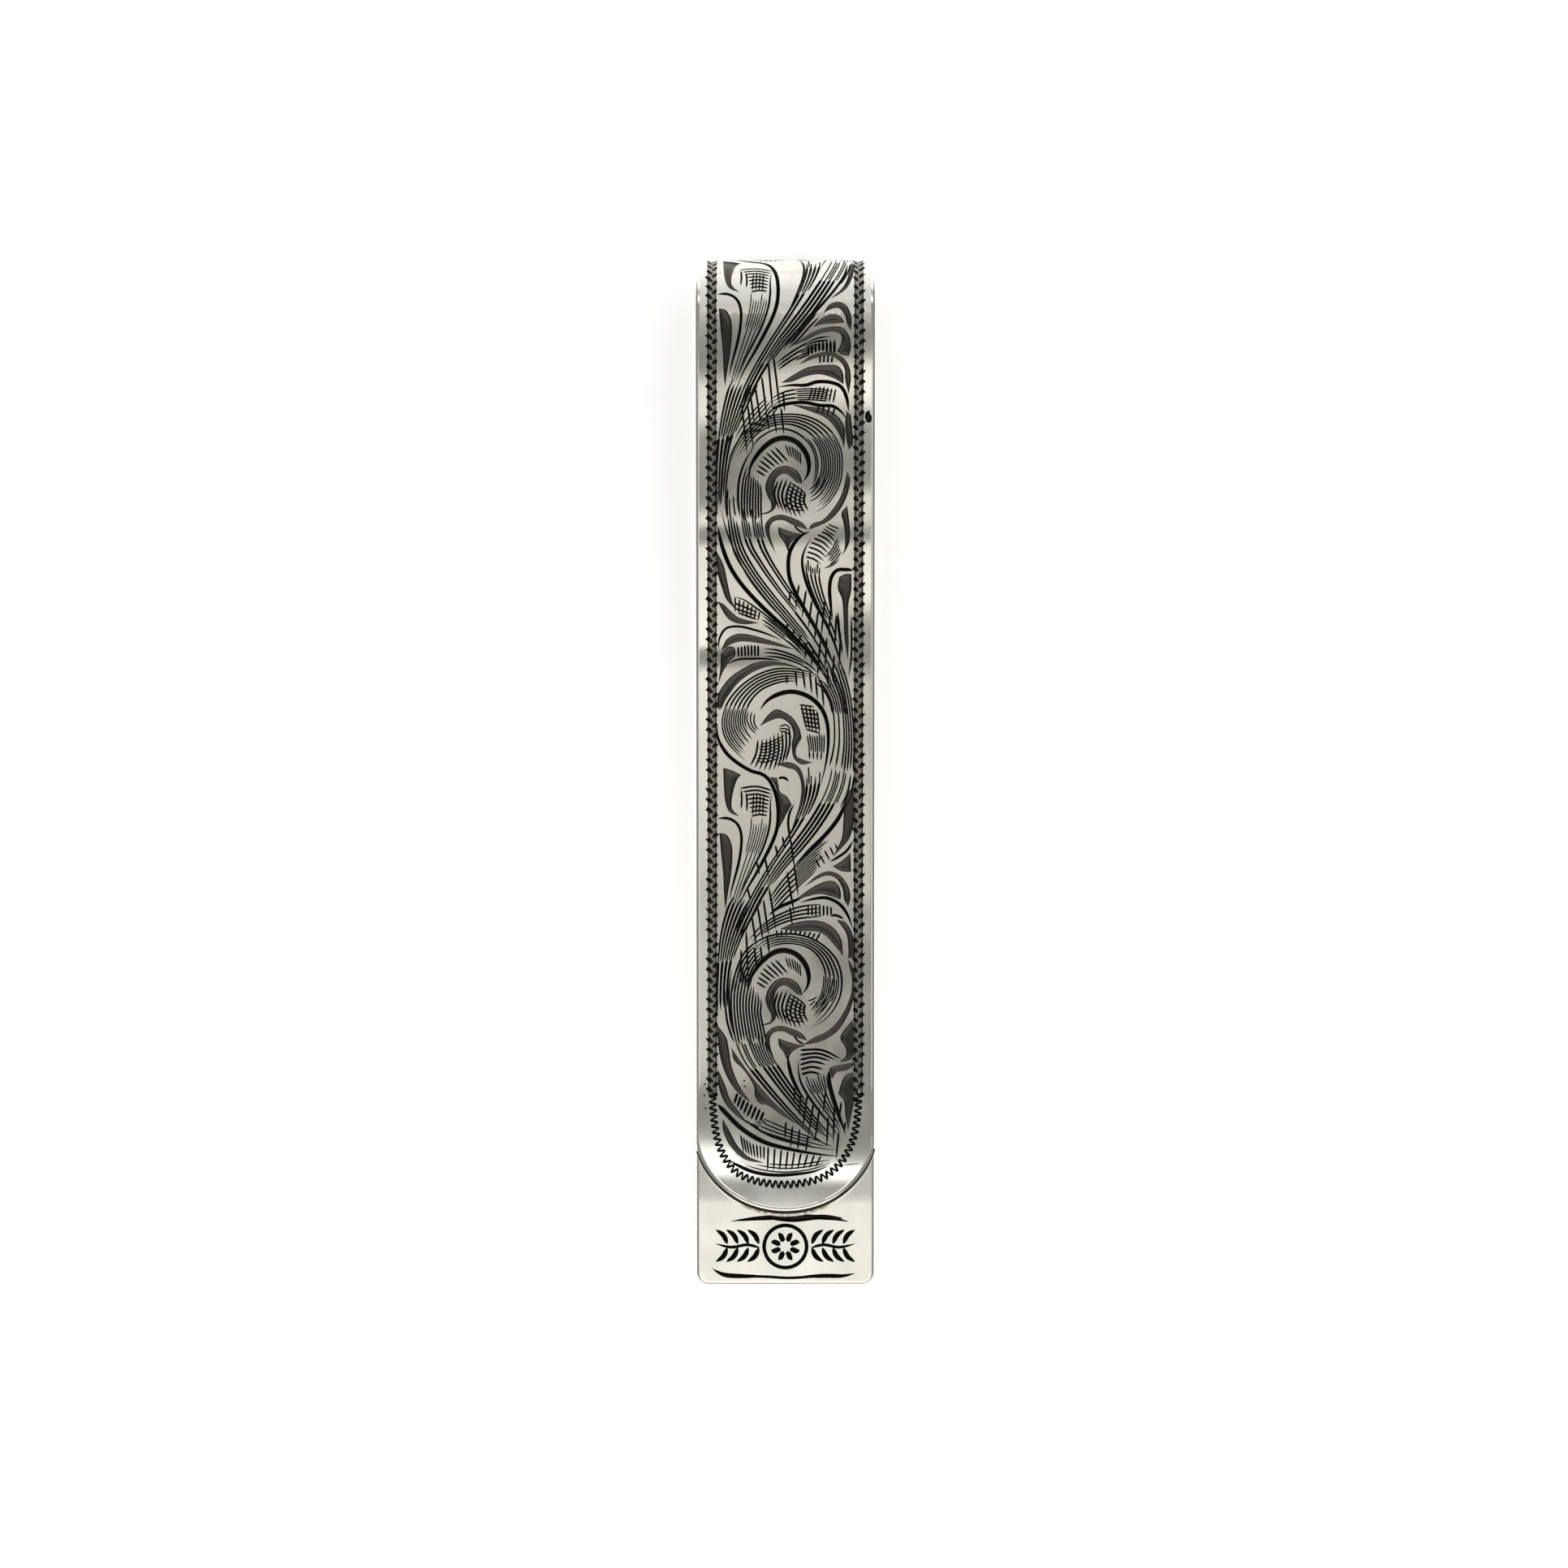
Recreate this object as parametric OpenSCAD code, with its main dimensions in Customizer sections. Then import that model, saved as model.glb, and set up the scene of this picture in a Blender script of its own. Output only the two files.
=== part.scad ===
// Folded strip money clip: one sterling strip bent round into a back leaf, a spring bend and a
// front leaf. The clip lies on its back leaf: +Z is up out of the front face, +Y runs towards
// the bend and +X is to the right. The origin is on the underside, at the middle of the outline.

/* [Strip] */
// Width of the strip
strip_w = 12.7; // [10:0.1:16]
// Thickness of the strip
strip_t = 1.2; // [0.9:0.05:1.3]
// Radius that softens the strip's long edges
edge_r = 0.4; // [0.1:0.05:0.42]

/* [Overall] */
// Length from the top of the bend to the end of the thumb tab
overall_l = 72; // [70:1:80]
// Outside diameter of the bend, which is also the height of the clip
bend_d = 7; // [6:0.1:8]

/* [Front leaf] */
// Radius of the shoulder where the front leaf leaves the bend
shoulder_r = 32; // [20:1:40]
// Distance along Y from the top of the bend to the start of the flare
flare_start = 57.6; // [54:0.1:59]
// Radius of the flare that lifts the tip
flare_r = 18; // [16:0.5:24]
// Length of the flare along Y
flare_run = 8.9; // [7.5:0.1:9]
// Downward slope of the leaf where the flare starts, in degrees
flare_slope = 2.5; // [1:0.1:3]
// Clearance between the leaves where the front leaf comes nearest
grip_gap = 0.15; // [0.1:0.01:0.3]
// How much larger the tip's radius is than half of the strip's width
tip_fullness = 0.35; // [0.2:0.05:1]
// Radius that blends the tip into the leaf's straight sides
tip_side_r = 3; // [1.5:0.1:4]

/* [Thumb tab] */
// Corner radius of the back leaf's exposed end
tab_corner_r = 1; // [0.5:0.1:3]

/* [Hidden] */
$fn = 96;
silver = "silver";
bright_silver = "gainsboro";
half_w = strip_w / 2;
bend_r = bend_d / 2;
tip_r = half_w + tip_fullness;

// how far the raw arcs run past the cuts that trim them, in degrees
spare_turn = 1;
lean_spare_turn = 0.1;

// size of the flat blank that trims the tip, along the leaf and through its thickness
tip_blank = 14;
blank_spare = 1;

// the plane where both leaves meet the bend
bend_y = overall_l / 2 - bend_r;

// heights and places along the front leaf's upper surface
flare_y = overall_l / 2 - flare_start;
crest_z = 2 * strip_t + grip_gap;
flare_z = crest_z + flare_r * (1 - cos(flare_slope));
fall = bend_d - flare_z;
tip_slope = asin(flare_run / flare_r - sin(flare_slope));

// slope at the shoulder's end that brings the long arc down to the flare's start
function shoulder_fall(a) = shoulder_r * (1 - cos(a));
function lean_run(a) = bend_y - shoulder_r * sin(a) - flare_y;
function lean_slope(a, steps) =
    steps == 0 ? a
    : lean_slope(2 * atan((fall - shoulder_fall(a)) / lean_run(a)) - flare_slope, steps - 1);
shoulder_slope = lean_slope(flare_slope, 12);
lean_r = lean_run(shoulder_slope) / (sin(shoulder_slope) - sin(flare_slope));

// unit normal of an upper surface that falls at a degrees towards -Y, as [y, z]
function up(a) = [-sin(a), cos(a)];
bend_centre = [bend_y, bend_r];
shoulder_centre = [bend_y, bend_d - shoulder_r];
shoulder_end = shoulder_centre + shoulder_r * up(shoulder_slope);
lean_centre = shoulder_end + lean_r * up(shoulder_slope);
lean_end = lean_centre - lean_r * up(flare_slope);
flare_centre = lean_end + flare_r * up(flare_slope);
tip_end = flare_centre - flare_r * up(-tip_slope);

// cuts across the front leaf, as [point on the upper surface, slope there]
leaf_start = [[bend_y, bend_d], 0];
shoulder_cut = [shoulder_end, shoulder_slope];
flare_cut = [lean_end, flare_slope];
leaf_end = [tip_end, -tip_slope];

// depth of the tip's outline and the place of its blend circles
blend_x = half_w - tip_side_r;
tip_depth = tip_r - sqrt(pow(tip_r - tip_side_r, 2) - pow(blend_x, 2));

// a point beyond the tip's arc, on the line through its centre and a blend circle's centre
wedge_spare = 1.2;
wedge_reach = wedge_spare * tip_r / (tip_r - tip_side_r);
wedge_x = wedge_reach * blend_x;
wedge_y = tip_r - wedge_reach * (tip_r - tip_depth);

// cross-section of the strip: X through the thickness, Y across the width
module strip_section() {
    for (side = [-1, 1], face = [edge_r, strip_t - edge_r])
        translate([face, side * (half_w - edge_r)])
            circle(r = edge_r);
    translate([edge_r, -half_w])
        square([strip_t - 2 * edge_r, strip_w]);
    translate([0, edge_r - half_w])
        square([strip_t, strip_w - 2 * edge_r]);
}

// moves by v in a coarse and a fine step, which keeps far-off arc centres exact
module exact_move(v) {
    coarse = [for (c = v) round(c * 1000) / 1000];
    translate(coarse)
        translate(v - coarse)
            children();
}

// length of strip bent round a centre, with its nearer face at radius r from the centre:
// angles run from +Y towards +Z
module bent_strip(centre, r, from, to) {
    exact_move([0, centre[0], centre[1]])
        rotate([90, 0, 90])
            rotate_extrude(angle = to - from, start = from)
                exact_move([r, 0, 0])
                    strip_section();
}

// keeps the strip between two cuts square to its upper surface, each given as [point, slope]
module between_cuts(first, last) {
    reach = 2 * strip_t;
    intersection() {
        children();
        translate([-strip_w, 0, 0])
            rotate([90, 0, 90])
                linear_extrude(2 * strip_w)
                    polygon([
                        first[0] + reach * up(first[1]),
                        first[0] - reach * up(first[1]),
                        last[0] - reach * up(last[1]),
                        last[0] + reach * up(last[1])
                    ]);
    }
}

// rectangle with round corners at its -Y end, running along +Y from the origin
module tab_outline(length) {
    for (side = [-1, 1])
        translate([side * (half_w - tab_corner_r), tab_corner_r])
            circle(r = tab_corner_r);
    translate([tab_corner_r - half_w, 0])
        square([strip_w - 2 * tab_corner_r, length]);
    translate([-half_w, tab_corner_r])
        square([strip_w, length - tab_corner_r]);
}

// outline of the leaf with its tip on the origin: one wide arc, with two arcs that blend it into
// the straight sides
module tip_outline(length) {
    for (side = [-1, 1])
        translate([side * blend_x, tip_depth])
            circle(r = tip_side_r);
    intersection() {
        translate([0, tip_r])
            circle(r = tip_r);
        polygon([
            [0, tip_r],
            [-wedge_x, wedge_y],
            [-wedge_x, -blank_spare],
            [wedge_x, -blank_spare],
            [wedge_x, wedge_y]
        ]);
    }
    translate([-blend_x, tip_depth])
        square([2 * blend_x, length - tip_depth]);
    translate([-half_w, tip_depth])
        square([strip_w, length - tip_depth]);
}

// flat leaf that the clip lies on, with the thumb tab at its end
module back_leaf() {
    leaf_l = bend_y + overall_l / 2;
    color(bright_silver)
        intersection() {
            translate([0, bend_y, 0])
                rotate([90, 0, 0])
                    linear_extrude(leaf_l)
                        rotate([0, 0, 90])
                            strip_section();
            translate([0, -overall_l / 2, 0])
                linear_extrude(strip_t)
                    tab_outline(leaf_l);
        }
}

// half round that joins the leaves and springs them together
module spring_bend() {
    color(silver)
        bent_strip(bend_centre, bend_r - strip_t, -90, 90);
}

// leaf that falls from the bend, grips at its crest and flares up to the round tip
module front_leaf() {
    color(silver)
        union() {
            between_cuts(leaf_start, shoulder_cut)
                bent_strip(
                    shoulder_centre,
                    shoulder_r - strip_t,
                    90 - spare_turn,
                    90 + shoulder_slope + spare_turn
                );
            between_cuts(shoulder_cut, flare_cut)
                bent_strip(
                    lean_centre,
                    lean_r,
                    flare_slope - 90 - lean_spare_turn,
                    shoulder_slope - 90 + lean_spare_turn
                );
            intersection() {
                between_cuts(flare_cut, leaf_end)
                    bent_strip(
                        flare_centre,
                        flare_r,
                        -tip_slope - 90 - spare_turn,
                        flare_slope - 90 + spare_turn
                    );
                translate([0, tip_end[0], tip_end[1]])
                    rotate([-tip_slope, 0, 0])
                        translate([0, 0, -tip_blank / 2])
                            linear_extrude(tip_blank)
                                tip_outline(tip_blank);
            }
        }
}

back_leaf();
spring_bend();
front_leaf();
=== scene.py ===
"""Looks of the money clip: one folded strip of silver with an engraved scroll on its front.

The strip is drawn unrolled, in millimetres: x across it and s along its outer face. s is 0 where
the front leaf meets the bend, grows round the bend and along the back leaf, and falls towards the
tip. strip() lays that plane onto the folded strip, and engraving is cut into the metal below it.
"""
import bisect
import math

import bpy
import numpy as np
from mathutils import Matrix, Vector
from mathutils.geometry import delaunay_2d_cdt


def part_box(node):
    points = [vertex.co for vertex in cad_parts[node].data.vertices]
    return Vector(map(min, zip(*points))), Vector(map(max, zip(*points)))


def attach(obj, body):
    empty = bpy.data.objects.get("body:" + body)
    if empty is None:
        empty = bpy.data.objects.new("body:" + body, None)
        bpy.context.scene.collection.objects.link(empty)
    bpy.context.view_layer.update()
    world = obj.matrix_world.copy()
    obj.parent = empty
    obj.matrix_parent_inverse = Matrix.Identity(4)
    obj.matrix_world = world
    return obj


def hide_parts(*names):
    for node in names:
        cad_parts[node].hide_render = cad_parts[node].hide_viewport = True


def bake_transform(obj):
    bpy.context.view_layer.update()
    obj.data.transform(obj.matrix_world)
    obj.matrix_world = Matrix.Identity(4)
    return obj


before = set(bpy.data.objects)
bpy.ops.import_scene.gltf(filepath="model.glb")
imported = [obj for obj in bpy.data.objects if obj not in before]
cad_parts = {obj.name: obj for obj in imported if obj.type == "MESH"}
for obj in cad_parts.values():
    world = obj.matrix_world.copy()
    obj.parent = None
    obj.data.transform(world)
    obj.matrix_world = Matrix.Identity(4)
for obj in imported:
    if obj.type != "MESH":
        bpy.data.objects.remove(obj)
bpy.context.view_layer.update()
MM = 0.001

# ---------------------------------------------------------------- camera
CAMERA_HEIGHT = 0.404
VIEW_WIDTH = 0.10957                # width of the view at the height of the front leaf
LEAF_HEIGHT = 0.004
VIEW_MIDDLE = (-0.000096, -0.00064)     # the camera stands a little off the clip's middle
camera = bpy.data.objects.new("camera", bpy.data.cameras.new("camera"))
camera.location = (*VIEW_MIDDLE, CAMERA_HEIGHT)
camera.data.lens = camera.data.sensor_width * (CAMERA_HEIGHT - LEAF_HEIGHT) / VIEW_WIDTH
bpy.context.scene.collection.objects.link(camera)
bpy.context.scene.camera = camera

BEND_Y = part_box("spring_bend")[0].y / MM

# ---------------------------------------------------------------- engraving: the drawing tools
# The design is drawn flat, in millimetres: x across the strip from its middle line, y along it.
# On the front leaf y is the clip's own Y. Past BEND_Y it goes on along the outside of the bend.

STEP = 0.13             # spacing of the points along a stroke
RIDGE = 0.29            # metal left between the lines of a band, as a share of their pitch
HAIR, FINE, HATCH, LINE, BOLD = 0.11, 0.14, 0.15, 0.19, 0.26        # widths of strokes
CROWDED = 0.14          # where a band's lines come closer than this, every second one stops
STAGGER = 0.07          # share of its length by which a band's line may start late or end early
TAPER_POWER = 0.8       # below 1, a stroke's taper is fuller than a sine's
RESTART = 0.2           # taper of a band's line where crowding cuts it short
CURVE_STEPS = 12        # points on a spline between two of its knots

strokes = []            # (points, half widths)
pools = []              # closed outlines of relieved background


def spline(points, step=STEP):
    """A smooth line through the points, as evenly spaced points."""
    if len(points) == 2:
        dense = [lerp(points[0], points[1], k / CURVE_STEPS) for k in range(CURVE_STEPS + 1)]
    else:
        dense = []
        ends = [reflect(points[1], points[0])] + list(points) + [reflect(points[-2], points[-1])]
        for p, q, r, s in zip(ends, ends[1:], ends[2:], ends[3:]):
            for k in range(CURVE_STEPS):
                dense.append(catmull(p, q, r, s, k / CURVE_STEPS))
        dense.append(tuple(points[-1]))
    return resample(dense, step)


def lerp(p, q, t):
    """The point at share t of the way from p to q."""
    return (p[0] + (q[0] - p[0]) * t, p[1] + (q[1] - p[1]) * t)


def reflect(p, q):
    """The point p mirrored through q."""
    return (2 * q[0] - p[0], 2 * q[1] - p[1])


def catmull(p, q, r, s, t):
    """The point at share t from q to r of a Catmull-Rom curve through p, q, r and s."""
    a, b = t * t, t * t * t
    return tuple(
        0.5 * (2 * q[i] + (r[i] - p[i]) * t + (2 * p[i] - 5 * q[i] + 4 * r[i] - s[i]) * a
               + (3 * q[i] - p[i] - 3 * r[i] + s[i]) * b)
        for i in (0, 1))


def length_along(points):
    """Distance of each point from the first one, along the line."""
    total = [0.0]
    for p, q in zip(points, points[1:]):
        total.append(total[-1] + math.dist(p, q))
    return total


def resample(points, step):
    """The same line with evenly spaced points."""
    total = length_along(points)
    count = max(3, round(total[-1] / step))
    return [at(points, k / count, total) for k in range(count + 1)]


def at(points, t, total=None):
    """The point at share t of a line's length."""
    total = total or length_along(points)
    want = min(max(t, 0.0), 1.0) * total[-1]
    k = min(max(bisect.bisect_right(total, want) - 1, 0), len(points) - 2)
    span = total[k + 1] - total[k]
    return lerp(points[k], points[k + 1], (want - total[k]) / span if span else 0.0)


def stroke(line, width, start=0.3, end=0.3):
    """Cuts a groove along a line: start and end are the shares of it that taper to a point."""
    last = len(line) - 1
    halves = []
    for k in range(last + 1):
        t = k / last
        rise = min(1.0, t / start) if start else 1.0
        fall = min(1.0, (1 - t) / end) if end else 1.0
        halves.append(0.5 * width * math.sin(math.pi / 2 * min(rise, fall)) ** TAPER_POWER)
    strokes.append((line, halves))


def cut(points, width=LINE, start=0.3, end=0.3):
    """Cuts a groove along a smooth line through the points."""
    stroke(spline(points), width, start, end)


def cuts(width, *lines, start=0.3, end=0.3):
    """Cuts several grooves of one width."""
    for points in lines:
        cut(points, width, start, end)


def hatch(*lines):
    """Crossing strokes, each given by its x, its top, its foot and how far the foot is to the
    left of the top."""
    for x, top, foot, lean in lines:
        cut([(x, top), (x - lean, foot)], HATCH, 0.15, 0.45)


def pool(*sides):
    """Relieves the background inside an outline of smooth sides that meet at corners. Each side
    goes on from the end of the one before it, and the last one returns to the first point."""
    outline, corner = [], []
    for k, side in enumerate(sides):
        closing = [sides[0][0]] if k == len(sides) - 1 else []
        whole = corner + side + closing
        outline += spline(whole)[:-1]
        corner = whole[-1:]
    pools.append(outline)


def band(first, last, count, width=FINE, skip=(), t0=(0, 0), t1=(1, 1), start=0.25, end=0.25):
    """Draws count lines that pass evenly from one guide to the other, and leaves out skip. The
    first line runs from share t0[0] to t1[0] of the guides, and the last from t0[1] to t1[1]."""
    a, b = spline(first), spline(last)
    la, lb = length_along(a), length_along(b)
    for k in range(count):
        if k in skip:
            continue
        f = k / max(count - 1, 1)
        lo, hi = t0[0] + (t0[1] - t0[0]) * f, t1[0] + (t1[1] - t1[0]) * f
        lo += STAGGER * (hi - lo) * abs(math.sin(2.4 * k + 0.7))
        hi -= STAGGER * (hi - lo) * abs(math.sin(1.7 * k + 0.3))
        n = max(4, round((la[-1] + (lb[-1] - la[-1]) * f) * (hi - lo) / STEP))
        ts = [lo + (hi - lo) * j / n for j in range(n + 1)]
        ends = [(at(a, t, la), at(b, t, lb)) for t in ts]
        pitches = [pitch_at(ends, j, count) for j in range(n + 1)]
        steps = [2 ** max(0, math.ceil(math.log2(CROWDED / max(p, 0.01)))) for p in pitches]
        run = longest_run([k % step == 0 for step in steps])
        if len(run) > 4:
            line = [lerp(*ends[j], f) for j in run]
            stroke(line, width, start if run[0] == 0 else RESTART, end if run[-1] == n else RESTART)
            room = [(1 - RIDGE) / 2 * pitches[j] * steps[j] for j in run]
            strokes[-1] = (line, [min(w, r) for w, r in zip(strokes[-1][1], room)])


def longest_run(flags):
    """The longest unbroken run of places whose flag is set."""
    best, run = [], []
    for k, flag in enumerate(flags):
        run = run + [k] if flag else []
        best = run if len(run) > len(best) else best
    return best


def pitch_at(ends, j, count):
    """Spacing of a band's lines, measured square to them."""
    (p, q), (p0, q0), (p1, q1) = ends[j], ends[max(j - 1, 0)], ends[min(j + 1, len(ends) - 1)]
    ux, uy = (p1[0] + q1[0] - p0[0] - q0[0]), (p1[1] + q1[1] - p0[1] - q0[1])
    size = math.hypot(ux, uy) or 1.0
    return abs((q[0] - p[0]) * uy - (q[1] - p[1]) * ux) / size / max(count - 1, 1)


def rungs(first, last, count, width=LINE, bow=0.0, start=0.15, end=0.35):
    """Draws count strokes from one guide to the other, each bowed to its left by bow."""
    a, b = spline(first), spline(last)
    for k in range(count):
        t = k / max(count - 1, 1)
        p, q = at(a, t), at(b, t)
        mid = lerp(p, q, 0.5)
        bent = (mid[0] - (q[1] - p[1]) * bow, mid[1] + (q[0] - p[0]) * bow)
        stroke(spline([p, bent, q]), width, start, end)

# ---------------------------------------------------------------- engraving: the design

def root():
    """The root at the bottom right, and the two leaves that it throws to the left edge."""
    cut([(-3.9, -27.0), (-3.3, -27.35), (-2.2, -27.8), (-0.8, -28.0), (0.6, -27.95), (2.0, -27.75),
         (3.2, -27.3)], BOLD, 0.15, 0.5)
    pool([(-4.4, -24.1), (-4.35, -25.0), (-3.8, -26.1), (-2.8, -26.95), (-1.4, -27.2)],
         [(-2.6, -26.7), (-3.4, -25.9), (-3.95, -24.9)])
    cut([(-4.75, -23.1), (-4.1, -23.8), (-3.3, -24.6), (-2.4, -25.25), (-1.3, -25.8), (0.0, -26.15),
         (1.5, -26.45), (3.0, -26.65), (3.9, -26.7)], 0.34, 0.06, 0.7)
    pool([(-4.75, -20.6), (-4.7, -21.8), (-4.3, -22.9), (-3.6, -23.75), (-2.6, -24.5)],
         [(-3.35, -23.5), (-3.9, -22.7), (-4.25, -21.7)])
    cut([(-2.9, -24.15), (-1.9, -24.85), (-0.8, -25.4), (0.8, -25.85), (2.4, -26.15), (3.7, -26.3)],
        0.16, 0.1, 0.6)
    # rungs and shading of the bottom leaf
    rungs([(-3.15, -25.2), (-2.4, -25.75), (-1.5, -26.0)],
          [(-2.9, -26.5), (-2.2, -26.85), (-1.5, -27.0)], 8, 0.13)
    rungs([(-1.2, -26.0), (0.4, -26.35), (2.5, -26.65)],
          [(-1.25, -27.75), (0.3, -27.7), (2.1, -27.5)], 9, FINE)
    band([(-3.2, -27.2), (-1.6, -27.65), (0.0, -27.8), (1.8, -27.6), (3.4, -27.1)],
         [(-1.4, -27.15), (-0.2, -27.2), (1.0, -27.15), (2.2, -27.0), (3.4, -26.85)], 6, HAIR)
    # rungs and shading of the upper leaf
    rungs([(-3.35, -22.3), (-2.7, -22.85), (-2.0, -23.25), (-1.5, -23.6)],
          [(-3.6, -23.1), (-2.95, -23.8), (-2.3, -24.25), (-1.8, -24.3)], 8, LINE)
    band([(-2.1, -23.8), (-1.0, -24.35), (0.3, -24.9), (1.6, -25.35), (2.8, -25.85), (3.6, -26.15)],
         [(-2.9, -24.3), (-1.8, -24.9), (-0.7, -25.3), (0.9, -25.75), (2.4, -26.05), (3.7, -26.25)],
         7, HAIR)
    # relieved ground on both sides of the upper leaf's tip
    pool([(-4.8, -17.5), (-4.72, -18.8), (-4.55, -19.9), (-4.2, -20.95), (-3.7, -21.85),
          (-3.1, -22.5), (-2.4, -23.0)],
         [(-3.05, -22.1), (-3.45, -21.3), (-3.8, -20.3), (-3.95, -19.3), (-4.15, -18.4)])
    pool([(-3.8, -19.1), (-3.3, -19.85), (-2.5, -20.95), (-1.7, -21.95), (-0.9, -22.85),
          (0.1, -23.8), (0.8, -24.5)],
         [(-0.2, -23.9), (-1.2, -23.2), (-1.8, -23.05), (-2.15, -22.5), (-2.2, -21.9),
          (-2.5, -21.3), (-3.0, -20.6), (-3.6, -20.0)])
    # the stem
    band([(-3.72, -18.15), (-2.9, -20.0), (-2.0, -21.2), (-0.9, -22.5), (0.2, -23.7),
          (1.2, -24.7), (2.2, -25.5), (3.3, -26.2)],
         [(-1.42, -18.05), (-1.0, -19.6), (-0.35, -20.7), (0.45, -21.9), (1.35, -23.1),
          (2.3, -24.3), (3.2, -25.3), (3.8, -26.0)], 13, LINE, skip=(1, 4), start=0.12)
    # the leaf under the bud, with its rungs and shading
    cut([(0.15, -19.6), (0.25, -20.4), (0.5, -21.3), (0.95, -22.2), (1.5, -23.0)], BOLD, 0.3, 0.5)
    cut([(0.95, -19.9), (0.92, -20.8), (1.15, -21.7), (1.8, -22.8), (2.8, -24.1), (3.9, -25.5)],
        0.18, 0.4, 0.5)
    rungs([(1.0, -19.3), (1.0, -20.2), (1.1, -21.0)],
          [(3.95, -19.95), (3.05, -20.15), (2.5, -21.0)], 6, 0.17, bow=0.11, start=0.1)
    band([(1.2, -21.1), (1.65, -22.0), (2.35, -23.0), (3.2, -24.1), (4.0, -25.3)],
         [(2.85, -20.6), (2.9, -21.4), (3.15, -22.4), (3.55, -23.6), (4.1, -25.0)], 9, HAIR)
    cut([(3.0, -20.8), (3.15, -21.8), (3.45, -22.9), (3.85, -24.1), (4.25, -25.3)], BOLD, 0.1, 0.5)
    pool([(3.0, -20.95), (3.2, -20.5), (3.9, -20.32), (4.5, -20.2), (4.95, -20.0)],
         [(4.7, -20.45), (4.2, -20.75), (3.6, -20.85), (3.3, -21.3)],
         [])
    pool([(3.7, -22.35), (4.0, -21.4), (4.3, -21.0), (4.9, -20.8)],
         [(4.92, -21.8), (4.8, -23.0), (4.55, -24.2), (4.4, -25.0)],
         [(4.2, -23.8), (4.1, -22.9)])
    pool([(4.7, -17.2), (4.87, -18.2), (4.85, -19.3), (4.5, -20.0), (3.8, -20.12)],
         [(4.25, -19.7), (4.2, -19.1), (3.85, -18.5), (4.1, -17.9)])
    # cross-hatching over the stem
    hatch((0.7, -21.8, -22.9, 0.1), (1.1, -22.3, -23.9, 0.15), (1.55, -22.4, -24.8, 0.35),
          (2.0, -22.9, -25.3, 0.4), (2.4, -23.3, -25.8, 0.35), (2.85, -22.0, -23.7, 0.2),
          (3.0, -23.9, -26.1, 0.1), (3.45, -22.9, -25.9, 0.1), (3.95, -22.9, -24.4, 0.25),
          (0.05, -24.3, -25.5, 0.1), (0.5, -24.6, -26.2, 0.15), (1.0, -24.8, -26.4, 0.15),
          (1.6, -25.2, -26.6, 0.2), (3.75, -25.0, -26.9, 0.2), (4.2, -24.3, -25.1, 0.1))


def eye():
    """The rolled-up middle of the two scrolls that turn clockwise, drawn for the lower one."""
    cut([(-2.6, -15.2), (-2.4, -14.2), (-1.75, -13.2), (-0.9, -12.5), (-0.05, -12.3), (0.8, -12.6),
         (1.4, -13.3), (1.64, -14.1), (1.55, -14.8), (1.2, -15.35)], 0.38, 0.45, 0.3)
    pool([(1.2, -15.45), (1.0, -14.8), (0.6, -14.4), (0.0, -14.2), (-0.7, -14.4), (-1.2, -15.0),
          (-1.4, -15.7), (-1.25, -16.3), (-1.0, -16.8), (-1.1, -17.3), (-2.0, -17.6)],
         [(-1.2, -17.5), (-0.75, -17.2), (-0.65, -16.8), (-0.8, -16.2), (-0.75, -15.5),
          (-0.55, -15.0), (-0.1, -14.75), (0.35, -14.95), (0.8, -15.35)])
    rungs([(-0.75, -12.9), (-1.35, -13.25), (-1.8, -13.8), (-2.05, -14.5)],
          [(0.2, -13.95), (-0.4, -14.2), (-0.9, -14.45), (-1.35, -14.95)], 7, 0.15, start=0.3)
    rungs([(0.0, -12.75), (0.5, -12.85), (1.0, -13.2)],
          [(0.3, -13.6), (0.7, -13.85), (1.1, -14.2)], 6, HAIR)
    rungs([(-0.5, -15.15), (0.05, -15.05), (0.6, -15.35), (1.05, -15.7), (1.4, -16.0)],
          [(-0.4, -17.25), (0.1, -17.55), (0.65, -17.8), (1.15, -17.75), (1.6, -17.35)],
          8, 0.16, bow=-0.15, start=0.25)
    band([(0.2, -15.3), (0.7, -15.6), (1.2, -15.95), (1.5, -16.4)],
         [(-0.3, -16.6), (0.2, -17.1), (0.8, -17.3), (1.5, -17.2)], 7, HAIR)
    # the bud under the scroll and the ground between the bud and its leaf
    pool([(-0.65, -20.35), (-1.2, -19.3), (-1.42, -18.5), (-1.25, -18.0), (-0.8, -17.68),
          (-0.2, -17.6), (0.6, -17.85), (1.2, -18.15), (1.55, -18.65)],
         [(1.1, -18.5), (0.5, -18.3), (-0.1, -18.0), (-0.7, -18.02), (-1.05, -18.35),
          (-1.08, -18.9), (-0.9, -19.6)])
    pool([(-0.5, -18.45), (0.3, -18.75), (0.9, -18.9), (1.5, -18.95)],
         [(0.8, -19.2), (0.35, -19.6), (0.2, -20.2)],
         [(-0.1, -19.5), (-0.45, -19.0)])
    cut([(0.55, -18.25), (0.95, -18.7), (1.4, -18.9)], FINE)


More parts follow.
